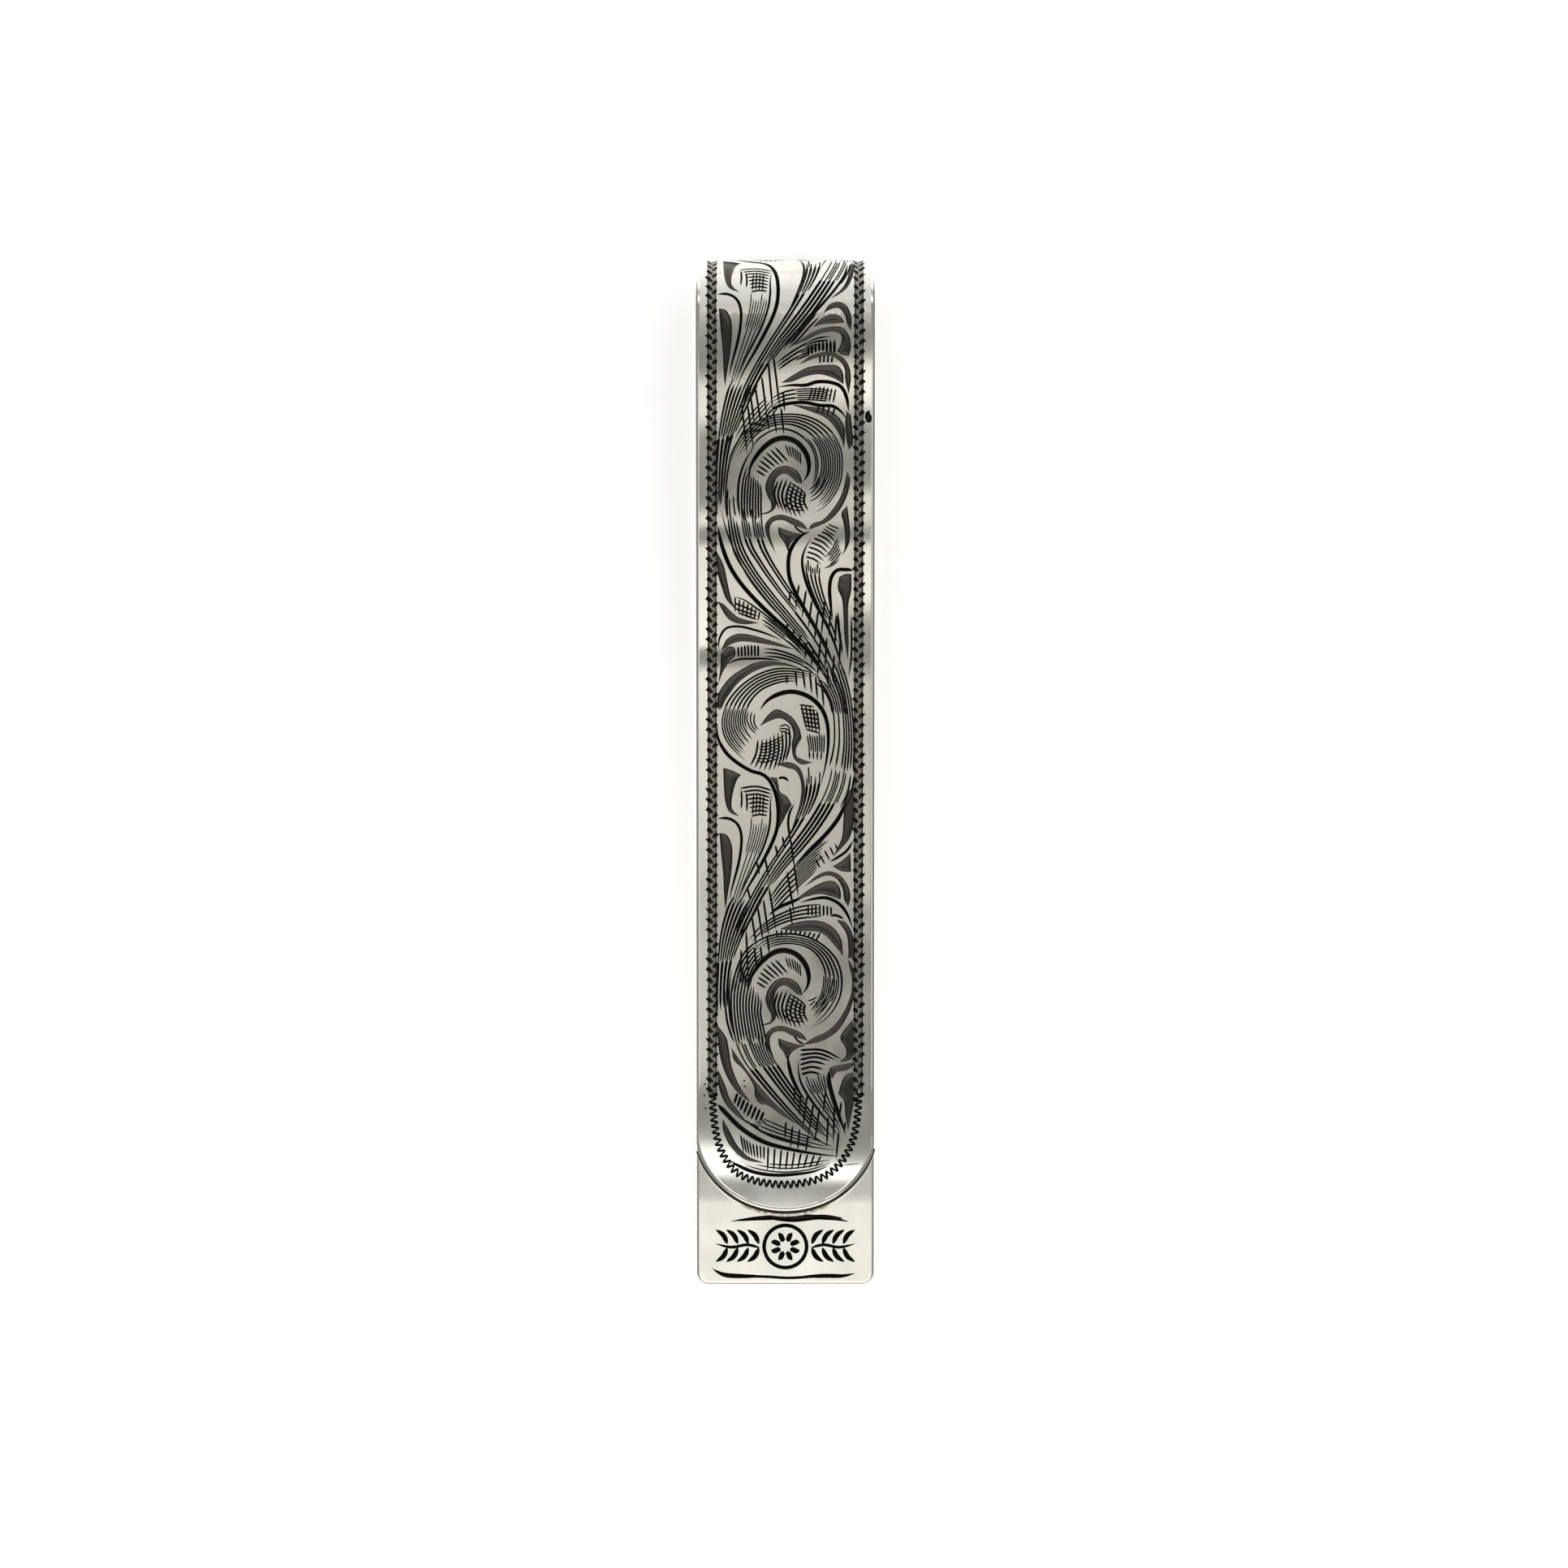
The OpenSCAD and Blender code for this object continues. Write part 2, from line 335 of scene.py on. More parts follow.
def lower_scroll():
    """What lies round the eye of the lower scroll: its rings, its ground and the vine beside it."""
    cut([(-2.9, -12.6), (-2.2, -11.85), (-1.3, -11.35), (-0.3, -11.15), (0.9, -11.2), (2.0, -11.55),
         (3.0, -12.25), (3.7, -13.2), (3.95, -14.4), (3.8, -15.6), (3.2, -16.7), (2.4, -17.4),
         (1.5, -17.7)], 0.15, 0.2, 0.4)
    band([(-2.8, -13.0), (-1.7, -11.8), (-0.5, -11.35), (0.8, -11.4), (2.0, -11.75), (3.1, -12.7),
          (3.7, -14.2), (3.55, -15.5), (2.9, -16.6), (2.2, -17.3), (1.6, -17.6)],
         [(-2.2, -13.4), (-1.3, -12.3), (-0.2, -11.9), (1.1, -12.0), (2.0, -12.5), (2.55, -13.4),
          (2.7, -14.4), (2.5, -15.4), (2.1, -16.1), (1.85, -16.6), (1.75, -16.9)],
         8, FINE, t0=(0, 0.1))
    band([(2.7, -14.4), (2.55, -15.3), (2.15, -16.05), (1.75, -16.6)],
         [(2.6, -14.9), (2.4, -15.4), (1.9, -15.75), (1.45, -15.85)], 5, HAIR)
    band([(3.35, -13.6), (3.35, -15.2), (2.7, -16.3), (1.8, -17.0)],
         [(3.0, -13.7), (2.95, -15.0), (2.4, -15.9), (1.7, -16.4)], 4, HAIR)
    # lines that climb from the stem into the scroll
    band([(-3.4, -19.1), (-3.72, -17.2), (-3.8, -15.7), (-3.6, -14.2), (-3.0, -12.9)],
         [(-1.3, -18.9), (-1.6, -17.5), (-1.75, -16.7), (-1.7, -16.0), (-1.85, -15.2)],
         11, FINE, t1=(1, 0.95), start=0.12)
    band([(-3.75, -15.5), (-3.5, -13.9), (-2.9, -12.5), (-2.0, -11.6)],
         [(-2.5, -14.9), (-2.3, -14.0), (-1.8, -13.2), (-1.2, -12.7)], 7, FINE)
    # the vine on its left
    cut([(-3.6, -18.8), (-4.05, -17.4), (-4.22, -16.0), (-4.2, -15.0)], 0.16, 0.2, 0.5)
    cut([(-3.35, -18.9), (-3.8, -17.4), (-3.95, -16.0), (-3.9, -14.6), (-3.7, -13.4)],
        0.15, 0.2, 0.5)
    band([(-4.75, -17.2), (-4.78, -15.4), (-4.7, -13.2), (-4.5, -11.2), (-4.0, -9.3),
          (-3.35, -8.1)],
         [(-3.95, -16.6), (-3.95, -14.8), (-3.65, -12.9), (-3.0, -11.2), (-2.1, -9.5),
          (-1.5, -8.6)],
         8, LINE, start=0.15, end=0.2)
    # relieved ground right of the scroll
    pool([(4.38, -12.9), (4.7, -13.4), (4.87, -14.5), (4.75, -15.8), (4.35, -16.9), (3.6, -18.0),
          (2.7, -18.6), (1.9, -18.85), (1.3, -18.9)],
         [(1.9, -18.45), (2.8, -18.05), (3.6, -17.35), (4.2, -16.4), (4.6, -15.3), (4.66, -14.3),
          (4.5, -13.5)])
    pool([(3.6, -10.15), (4.2, -10.3), (4.65, -11.0), (4.85, -12.0), (4.8, -12.85)],
         [(4.4, -12.85)],
         [(4.4, -12.0), (4.25, -11.1)])
    pool([(-0.4, -10.8), (0.5, -10.4), (1.5, -10.2), (2.5, -10.25), (3.3, -10.65), (3.9, -11.5),
          (4.05, -12.7)],
         [(3.5, -12.0), (2.8, -11.25), (2.0, -10.95), (0.9, -10.95)])
    rungs([(-0.6, -10.95), (0.8, -10.95), (2.4, -11.15)],
          [(-0.6, -11.25), (0.8, -11.2), (2.2, -11.5)], 10, FINE, start=0, end=0)


def lower_leaves():
    """The leaves right of the vine, between the lower and the middle scroll."""
    # the big shaded leaf
    pool([(4.87, -0.6), (4.87, -2.0), (4.8, -3.3), (4.5, -4.4), (3.95, -5.1), (3.3, -5.75)],
         [(3.7, -5.0), (3.97, -4.3), (4.05, -3.2), (4.12, -2.2), (4.35, -1.3)])
    cut([(4.35, -1.2), (4.15, -2.1), (3.6, -3.2), (2.7, -4.3), (1.6, -5.35), (0.5, -6.5)],
        0.3, 0.35, 0.45)
    band([(3.1, -4.3), (2.2, -5.0), (1.3, -5.85), (0.4, -6.75), (-0.5, -7.8), (-1.3, -9.0)],
         [(2.5, -6.4), (1.8, -7.0), (1.1, -7.65), (0.3, -8.4), (-0.4, -9.1), (-1.1, -9.9)],
         9, FINE)
    rungs([(3.5, -4.8), (2.9, -5.15), (2.4, -5.5), (2.1, -5.9)],
          [(3.65, -5.3), (3.2, -5.9), (2.8, -6.25), (2.45, -6.55)], 5, 0.13)
    cut([(3.1, -6.1), (3.7, -5.75), (4.3, -5.3), (4.75, -4.6)], LINE)
    pool([(3.3, -6.4), (3.9, -6.05), (4.55, -5.45)],
         [(4.6, -6.8)],
         [(3.95, -6.75)])
    # the two plain lobes
    pool([(1.3, -7.85), (2.2, -7.05), (3.0, -6.75), (3.8, -7.0), (4.4, -7.8), (4.55, -8.6),
          (4.4, -9.25)],
         [(4.1, -8.7), (4.0, -8.0), (3.6, -7.3), (3.0, -7.05), (2.3, -7.25)])
    pool([(0.6, -8.8), (1.6, -8.05), (2.4, -7.6), (3.2, -7.4), (3.7, -7.7), (3.9, -8.3),
          (3.85, -8.75)],
         [(3.2, -8.5), (2.4, -8.35), (1.6, -8.5)])
    cut([(-1.2, -9.85), (-0.5, -9.3), (0.3, -8.95), (1.2, -8.6)], BOLD, 0.4, 0.3)
    # the small hatched leaf
    cut([(1.0, -8.95), (1.9, -8.7), (2.7, -8.6), (3.3, -8.75), (3.9, -9.15), (4.35, -9.8),
         (4.75, -10.8)], 0.24, 0.4, 0.4)
    rungs([(1.6, -9.15), (2.4, -9.05), (3.2, -9.2)], [(1.6, -9.9), (2.4, -9.95), (3.2, -9.85)],
          7, 0.14, start=0.1, end=0.2)
    band([(2.9, -9.1), (2.0, -9.1), (1.0, -9.25), (0.0, -9.6), (-1.0, -10.1), (-1.9, -10.8),
          (-2.7, -11.8)],
         [(2.9, -9.85), (2.0, -9.95), (1.0, -10.05), (0.0, -10.3), (-1.0, -10.75), (-1.8, -11.3),
          (-2.5, -12.2)], 7, FINE)
    cut([(3.1, -9.85), (3.6, -9.85), (4.1, -10.1)], LINE)
    # cross-hatching
    hatch((-0.2, -4.3, -5.2, -0.15), (0.35, -4.4, -6.6, -0.3), (0.6, -6.2, -8.5, -0.3),
          (0.1, -6.7, -9.9, -0.55), (-0.7, -4.9, -5.9, -0.2), (-1.45, -5.7, -7.2, -0.3),
          (-2.0, -6.1, -7.0, -0.2), (-1.15, -7.9, -10.9, -0.5), (-1.55, -8.7, -11.4, -0.4),
          (-1.95, -9.2, -11.7, -0.4), (-2.35, -9.9, -12.2, -0.35), (-2.75, -10.9, -14.4, -0.15),
          (-2.2, -12.0, -13.8, -0.25), (-1.75, -12.0, -13.2, -0.15), (-2.65, -7.9, -8.8, -0.2),
          (-1.3, -11.2, -12.6, -0.2), (-3.1, -12.2, -14.6, 0.0), (0.3, -9.2, -10.6, -0.2))


def middle_scroll(with_bud=True):
    """The scroll that turns the other way, with the leaf, bud and stems below it."""
    # relieved ground and leaf edges at the left
    pool([(-4.35, 0.5), (-4.3, -0.8), (-4.2, -1.9), (-3.9, -2.6), (-3.2, -2.92)],
         [(-3.7, -2.4), (-3.75, -1.8), (-3.6, -1.0), (-3.4, -0.4), (-3.1, 0.0)],
         [(-3.7, 0.3)])
    cut([(-4.75, -3.05), (-4.0, -3.05), (-3.4, -3.4), (-3.1, -4.1), (-3.1, -5.1), (-3.3, -6.3),
         (-3.7, -7.8), (-3.95, -8.9)], 0.2, 0.1, 0.4)
    pool([(-4.62, -4.05), (-4.5, -5.5), (-4.35, -7.0), (-4.3, -8.3), (-4.2, -9.5)],
         [(-4.0, -8.2), (-3.8, -7.0), (-3.7, -5.8), (-3.75, -4.9), (-4.1, -4.2)])
    # the hatched leaf
    rungs([(-3.2, -0.95), (-2.8, -1.5), (-2.55, -2.2), (-2.4, -2.9)],
          [(-0.9, -1.1), (-1.05, -1.7), (-1.15, -2.3), (-1.25, -2.85)], 8, 0.14, bow=0.09,
          start=0.15, end=0.2)
    cut([(-0.95, -1.2), (-1.05, -2.1), (-1.05, -3.0), (-1.2, -4.0), (-1.6, -5.2), (-2.2, -6.4),
         (-2.8, -7.6), (-3.3, -8.9)], 0.16, 0.3, 0.4)
    cut([(-3.1, -1.0), (-3.05, -1.7), (-3.1, -2.4)], FINE)
    cut([(-2.75, -1.2), (-2.68, -1.9), (-2.7, -2.6)], FINE)
    band([(-2.55, -2.9), (-2.62, -4.0), (-2.9, -5.3), (-3.3, -6.8), (-3.7, -8.3), (-4.05, -9.7)],
         [(-1.2, -2.9), (-1.45, -4.2), (-1.9, -5.5), (-2.5, -6.9), (-3.05, -8.2), (-3.6, -9.8)],
         8, 0.085, skip=(0,), start=0.15)
    band([(-2.2, -1.2), (-2.25, -2.0), (-2.3, -2.9)], [(-1.5, -1.2), (-1.55, -2.0), (-1.6, -2.9)],
         4, HAIR)
    # the outline that rims the scroll and runs on down the leaf
    cut([(-4.8, 3.6), (-4.68, 2.5), (-4.1, 1.5), (-3.3, 0.8), (-2.4, 0.28), (-1.65, 0.05),
         (-1.15, -0.35), (-0.8, -1.0), (-0.58, -1.8), (-0.5, -2.8), (-0.6, -3.8), (-0.95, -4.8),
         (-1.5, -5.9), (-2.1, -7.0), (-2.8, -8.2), (-3.4, -9.5)], 0.26, 0.15, 0.35)
    if with_bud:
        # ground between the leaf and the bud
        pool([(-1.1, -0.15), (-0.7, -0.8), (-0.5, -1.8), (-0.45, -3.0), (-0.7, -4.2)],
             [(-0.2, -3.3), (0.1, -2.7), (0.45, -2.1)],
             [(0.1, -1.5), (-0.35, -1.2), (-0.5, -0.6), (-0.6, -0.2)],
             [])
        # the bud
        pool([(-0.7, 0.75), (0.2, 0.9), (0.9, 0.6), (1.25, -0.1), (1.38, -1.0), (1.2, -2.0),
              (0.85, -3.0), (0.3, -4.2)],
             [(0.7, -3.0), (1.0, -2.0), (1.12, -1.0), (1.0, -0.2), (0.7, 0.3), (0.1, 0.5)])
        cut([(0.65, -2.0), (0.32, -2.6), (0.2, -3.3), (0.28, -4.2), (0.4, -4.8)], 0.18, 0.3, 0.4)
        cut([(-0.55, -0.25), (-0.1, -0.2), (0.25, -0.45)], LINE)
    else:
        cut([(0.9, 1.0), (1.2, 0.0), (1.3, -1.0), (1.15, -2.0), (0.8, -3.0), (0.2, -4.3)],
            0.16, 0.3, 0.5)
    # the stems that climb past it
    band([(1.45, 0.6), (1.5, -0.8), (1.3, -2.0), (0.8, -3.3), (-0.1, -4.8), (-1.2, -6.5),
          (-2.2, -8.2), (-3.0, -9.8), (-3.6, -11.4)],
         [(2.6, 0.8), (2.5, -0.6), (2.15, -1.8), (1.5, -3.0), (0.6, -4.4), (-0.5, -6.0),
          (-1.6, -7.8), (-2.5, -9.5), (-3.2, -11.2)], 8, LINE, skip=(5,), start=0.1, end=0.2)
    band([(3.35, 1.2), (3.1, -0.4), (2.5, -1.9), (1.6, -3.4), (0.5, -4.9), (-0.7, -6.5),
          (-1.8, -8.3), (-2.7, -10.1), (-3.3, -11.9)],
         [(4.35, 1.2), (4.1, -0.6), (3.5, -2.1), (2.5, -3.7), (1.3, -5.2), (0.0, -6.6),
          (-1.2, -8.2), (-2.2, -10.0), (-2.9, -11.8)], 8, LINE, skip=(1, 5), start=0.1, end=0.2)
    band([(4.6, 0.2), (4.35, -1.2), (3.8, -2.4)], [(4.8, 0.0), (4.6, -1.4), (4.1, -2.6)], 2, FINE)
    # rings
    band([(3.2, 6.2), (2.0, 7.05), (0.8, 7.35), (-0.6, 7.4), (-2.0, 6.95), (-3.2, 6.1),
          (-4.05, 5.0), (-4.4, 3.8), (-4.25, 2.7), (-3.65, 1.8), (-2.9, 1.1), (-2.4, 0.7)],
         [(2.2, 6.1), (1.2, 6.45), (0.2, 6.55), (-0.8, 6.35), (-1.8, 5.85), (-2.55, 4.95),
          (-2.85, 3.9), (-2.65, 3.2), (-2.3, 2.7), (-2.0, 2.3), (-1.9, 2.0), (-1.95, 1.8)],
         11, FINE, t0=(0, 0.12), t1=(1, 0.9))
    band([(-2.5, 4.6), (-2.7, 3.9), (-2.4, 3.2), (-1.95, 2.8)],
         [(-2.1, 4.4), (-2.2, 3.9), (-2.1, 3.4), (-1.8, 3.1)], 3, HAIR)
    # the eye
    cut([(-1.8, 4.5), (-1.3, 5.15), (-0.6, 5.58), (0.3, 5.8), (1.2, 5.65), (2.0, 5.2), (2.6, 4.5),
         (2.92, 3.6), (3.0, 2.6), (2.95, 1.6), (2.75, 0.4), (2.4, -0.9)], 0.33, 0.2, 0.75)
    pool([(-1.8, 3.4), (-1.2, 4.2), (-0.65, 4.58), (-0.1, 4.4), (0.5, 4.0), (0.95, 3.3),
          (1.12, 2.6), (0.92, 2.2), (0.75, 1.8), (0.85, 1.25), (1.9, 0.85)],
         [(1.2, 0.72), (0.75, 0.95), (0.5, 1.4), (0.45, 2.2), (0.55, 2.8), (0.4, 3.4), (0.0, 3.8),
          (-0.5, 3.95), (-1.1, 3.75)])
    rungs([(0.95, 4.9), (1.05, 4.4), (1.15, 3.9), (1.4, 3.2)],
          [(2.0, 4.75), (2.3, 4.2), (2.45, 3.6), (2.45, 2.9)], 7, 0.13, start=0.2, end=0.2)
    rungs([(1.1, 4.9), (1.6, 4.85), (2.2, 4.5)], [(1.5, 3.1), (1.95, 2.9), (2.4, 2.9)], 5, FINE)
    band([(1.5, 2.9), (1.65, 2.0), (1.7, 1.0)], [(2.7, 3.0), (2.7, 2.0), (2.6, 0.8)], 8, FINE)
    rungs([(-1.9, 2.5), (-1.3, 2.6), (-0.8, 2.9), (-0.3, 3.1), (0.25, 3.45)],
          [(-2.45, 0.6), (-1.9, 0.35), (-1.35, 0.25), (-0.7, 0.35), (0.0, 0.9)],
          9, 0.15, bow=0.07, start=0.25, end=0.25)
    band([(-1.9, 2.1), (-1.0, 2.3), (0.0, 2.8)], [(-2.2, 1.0), (-1.3, 0.9), (-0.2, 1.3)], 7, HAIR)
    band([(-0.5, 3.3), (0.0, 3.5), (0.4, 3.2)], [(-0.5, 3.0), (0.0, 3.0), (0.5, 2.6)], 3, HAIR)
    # ground over the scroll
    pool([(-4.8, 4.7), (-4.7, 5.6), (-4.3, 6.3), (-3.7, 6.95), (-2.9, 7.45), (-2.2, 7.8),
          (-1.2, 7.95), (0.2, 7.75), (1.6, 7.2)],
         [(0.2, 7.58), (-1.0, 7.6), (-2.2, 7.2), (-3.3, 6.4), (-4.1, 5.35), (-4.5, 4.6)])


def middle_vine():
    """The vine at the right edge beside the middle scroll."""
    band([(3.0, 0.2), (3.4, 2.1), (3.4, 3.9), (3.15, 5.2), (2.7, 6.1), (2.0, 7.2)],
         [(4.7, -0.3), (4.8, 1.9), (4.7, 4.0), (4.5, 5.6), (4.15, 7.0), (3.7, 8.3)],
         9, 0.14, skip=(1, 3), start=0.1, end=0.15)
    band([(2.0, 6.6), (2.6, 6.0), (3.05, 5.2), (3.3, 4.2)],
         [(3.7, 6.9), (4.0, 6.0), (4.2, 5.0), (4.3, 4.0)], 8, LINE)
    hatch((0.1, 7.0, 6.3, 0.0), (0.7, 7.3, 6.1, -0.1), (1.2, 7.3, 5.9, -0.2),
          (1.7, 7.2, 5.6, -0.15), (2.1, 6.9, 5.2, -0.15), (2.5, 6.7, 4.6, -0.2),
          (2.9, 7.6, 6.0, -0.15))


def upper_vine():
    """The vine and its leaves between the middle and the upper scroll."""
    cut([(-4.72, 17.4), (-4.4, 15.9), (-3.8, 14.4), (-2.95, 13.15), (-1.85, 11.95), (-0.75, 10.9),
         (0.35, 9.9), (1.5, 8.6), (2.4, 7.4), (3.0, 6.4)], 0.3, 0.15, 0.4)
    band([(-4.12, 18.8), (-3.65, 15.8), (-2.7, 14.05), (-1.55, 12.5), (-0.35, 11.1), (0.9, 9.7),
          (2.0, 8.2), (2.9, 6.8), (3.25, 5.6)],
         [(-3.62, 18.8), (-3.1, 16.2), (-2.2, 14.4), (-1.0, 12.75), (0.2, 11.3), (1.4, 9.8),
          (2.4, 8.2), (3.2, 6.7), (3.6, 5.6)], 4, 0.17, start=0.1, end=0.15)
    band([(-3.18, 18.7), (-2.75, 16.3), (-1.85, 14.7), (-0.65, 13.0), (0.55, 11.5), (1.7, 9.95),
          (2.7, 8.3), (3.4, 6.8), (3.7, 5.4)],
         [(-1.75, 18.6), (-1.5, 16.5), (-0.95, 15.1), (-0.1, 13.7), (0.9, 12.2), (1.9, 10.6),
          (2.8, 8.9), (3.8, 7.0), (4.2, 5.4)], 10, 0.17, skip=(4,), start=0.08, end=0.15)
    cut([(-4.5, 18.6), (-4.1, 17.0), (-3.35, 15.2), (-2.4, 13.5), (-1.2, 12.0), (0.0, 10.75),
         (1.0, 9.6)], FINE)
    # the bud's stem and the hatched leaf's edge
    cut([(1.75, 16.98), (1.1, 16.65), (0.6, 16.1), (0.28, 15.4), (0.2, 14.5), (0.32, 13.6),
         (0.7, 12.7), (1.3, 11.6), (2.1, 10.3), (2.9, 8.9), (3.4, 7.6)], 0.28, 0.15, 0.5)
    cut([(1.85, 16.55), (1.4, 15.8), (1.17, 15.0), (1.27, 14.1), (1.6, 13.0), (2.1, 11.9),
         (2.7, 10.8), (3.3, 9.5), (3.8, 8.0), (4.1, 6.8)], 0.22, 0.3, 0.45)
    rungs([(2.5, 16.95), (2.0, 16.55), (1.6, 15.9), (1.4, 15.2)],
          [(3.5, 16.2), (3.2, 15.75), (2.9, 15.1), (2.5, 14.65)], 7, 0.14, bow=0.08, start=0.1,
          end=0.5)
    band([(3.7, 16.6), (3.3, 15.8), (2.8, 15.1)], [(3.95, 15.7), (3.6, 15.1), (3.0, 14.55)], 5, HAIR)
    band([(2.6, 17.2), (3.0, 16.9), (3.5, 16.6)], [(2.9, 17.5), (3.3, 17.3), (3.8, 17.1)], 3, HAIR)
    band([(1.4, 15.1), (1.5, 14.0), (1.85, 12.8), (2.35, 11.7), (3.0, 10.3), (3.6, 8.8)],
         [(2.6, 14.7), (2.5, 13.7), (2.7, 12.7), (3.0, 11.7), (3.45, 10.4), (3.9, 8.8)],
         8, FINE, start=0.1)
    # ground right of the hatched leaf
    pool([(4.3, 18.75), (4.45, 17.6), (4.5, 16.5), (4.3, 15.8), (3.8, 15.1), (3.3, 14.75),
          (2.6, 14.35)],
         [(3.3, 14.55), (3.75, 15.0), (4.1, 15.7), (4.15, 16.6), (4.05, 17.5), (3.9, 18.2)])
    cut([(4.75, 14.25), (4.2, 14.3), (3.6, 14.25), (3.2, 13.75), (3.08, 12.9), (3.15, 11.9),
         (3.3, 10.8)], 0.26, 0.1, 0.4)
    pool([(3.75, 13.8), (4.2, 14.0), (4.6, 14.0)],
         [(4.6, 12.9), (4.4, 11.9), (4.38, 10.5), (4.42, 9.2), (4.35, 8.0)],
         [(4.12, 9.5), (4.05, 11.0), (3.95, 12.2), (3.65, 13.0)])
    cut([(3.65, 11.4), (3.75, 10.0), (4.0, 8.4)], LINE)
    cut([(4.6, 11.2), (4.62, 9.6), (4.6, 8.2), (4.4, 6.8)], FINE)
    # leaves thrown to the left edge
    pool([(-4.8, 15.6), (-4.75, 14.2), (-4.45, 13.1), (-4.1, 12.2), (-3.45, 11.5)],
         [(-3.8, 12.4), (-4.05, 13.5), (-4.3, 14.6)])
    cut([(-3.8, 12.45), (-3.0, 12.25), (-2.2, 11.75), (-1.4, 11.15), (-0.5, 10.4), (0.6, 9.4),
         (1.6, 8.4)], 0.13, 0.3, 0.4)
    pool([(-4.75, 12.1), (-4.3, 11.9), (-3.9, 11.5), (-3.3, 11.0), (-2.5, 10.75), (-1.8, 10.6)],
         [(-2.7, 10.5), (-3.5, 10.6), (-4.1, 11.0)])
    rungs([(-3.5, 12.4), (-2.9, 12.15), (-2.3, 11.8), (-1.8, 11.4)],
          [(-3.5, 11.3), (-3.0, 11.0), (-2.4, 10.85), (-1.9, 10.75)], 7, 0.13)
    rungs([(-3.6, 12.0), (-3.55, 11.6), (-3.3, 11.3)], [(-1.9, 11.3), (-1.9, 11.0), (-1.9, 10.8)],
          3, FINE)
    band([(-1.9, 11.3), (-1.2, 10.8), (-0.3, 10.05), (0.7, 9.15), (1.6, 8.2)],
         [(-1.8, 10.5), (-1.1, 10.1), (-0.4, 9.6), (0.5, 8.95), (1.4, 8.1)], 6, FINE)
    cut([(-4.65, 8.8), (-4.6, 9.5), (-4.15, 10.2), (-3.3, 10.35), (-2.3, 10.15), (-1.2, 9.8),
         (-0.2, 9.35)], 0.17, 0.2, 0.4)
    pool([(-4.5, 8.6), (-4.1, 9.45), (-3.4, 9.82), (-2.6, 9.8), (-1.6, 9.55), (-0.5, 9.2),
          (0.8, 8.7)],
         [(-0.6, 8.98), (-1.8, 9.18), (-3.0, 9.3), (-3.8, 9.1)])
    rungs([(-3.3, 8.95), (-2.6, 9.1), (-1.9, 9.05)], [(-3.25, 8.2), (-2.6, 8.2), (-1.9, 8.2)],
          7, 0.15, start=0.1, end=0.2)
    band([(-1.8, 8.8), (-0.6, 8.7), (0.6, 8.3), (1.6, 7.7), (2.4, 7.0)],
         [(-1.8, 8.15), (-0.6, 8.1), (0.6, 7.8), (1.6, 7.3), (2.3, 6.6)], 6, FINE)
    pool([(-4.5, 8.45), (-4.0, 8.95), (-3.55, 8.85), (-3.5, 8.3), (-3.9, 7.9), (-4.35, 7.2),
          (-4.7, 6.3)],
         [(-4.55, 7.4)])
    cut([(-4.1, 7.7), (-3.3, 8.05), (-2.4, 8.1), (-1.4, 8.1), (-0.2, 7.95)], 0.16, 0.3, 0.4)
    # cross-hatching
    hatch((0.35, 12.8, 11.9, 0.1), (0.95, 13.3, 11.5, 0.25), (1.45, 12.9, 10.9, 0.3),
          (1.85, 12.2, 10.2, 0.25), (2.3, 11.5, 9.2, 0.3), (2.75, 12.3, 9.6, 0.25),
          (3.2, 11.9, 9.6, 0.2), (3.55, 11.2, 8.9, 0.1), (2.9, 9.6, 7.3, 0.15),
          (3.4, 8.4, 6.7, 0.1), (3.85, 10.0, 7.4, 0.1), (2.45, 9.4, 7.7, 0.15),
          (0.15, 10.6, 9.7, 0.1), (0.6, 10.2, 9.2, 0.1), (1.05, 9.8, 8.7, 0.15),
          (1.5, 9.3, 8.0, 0.15), (1.95, 8.9, 7.5, 0.15), (2.35, 8.2, 6.9, 0.1))


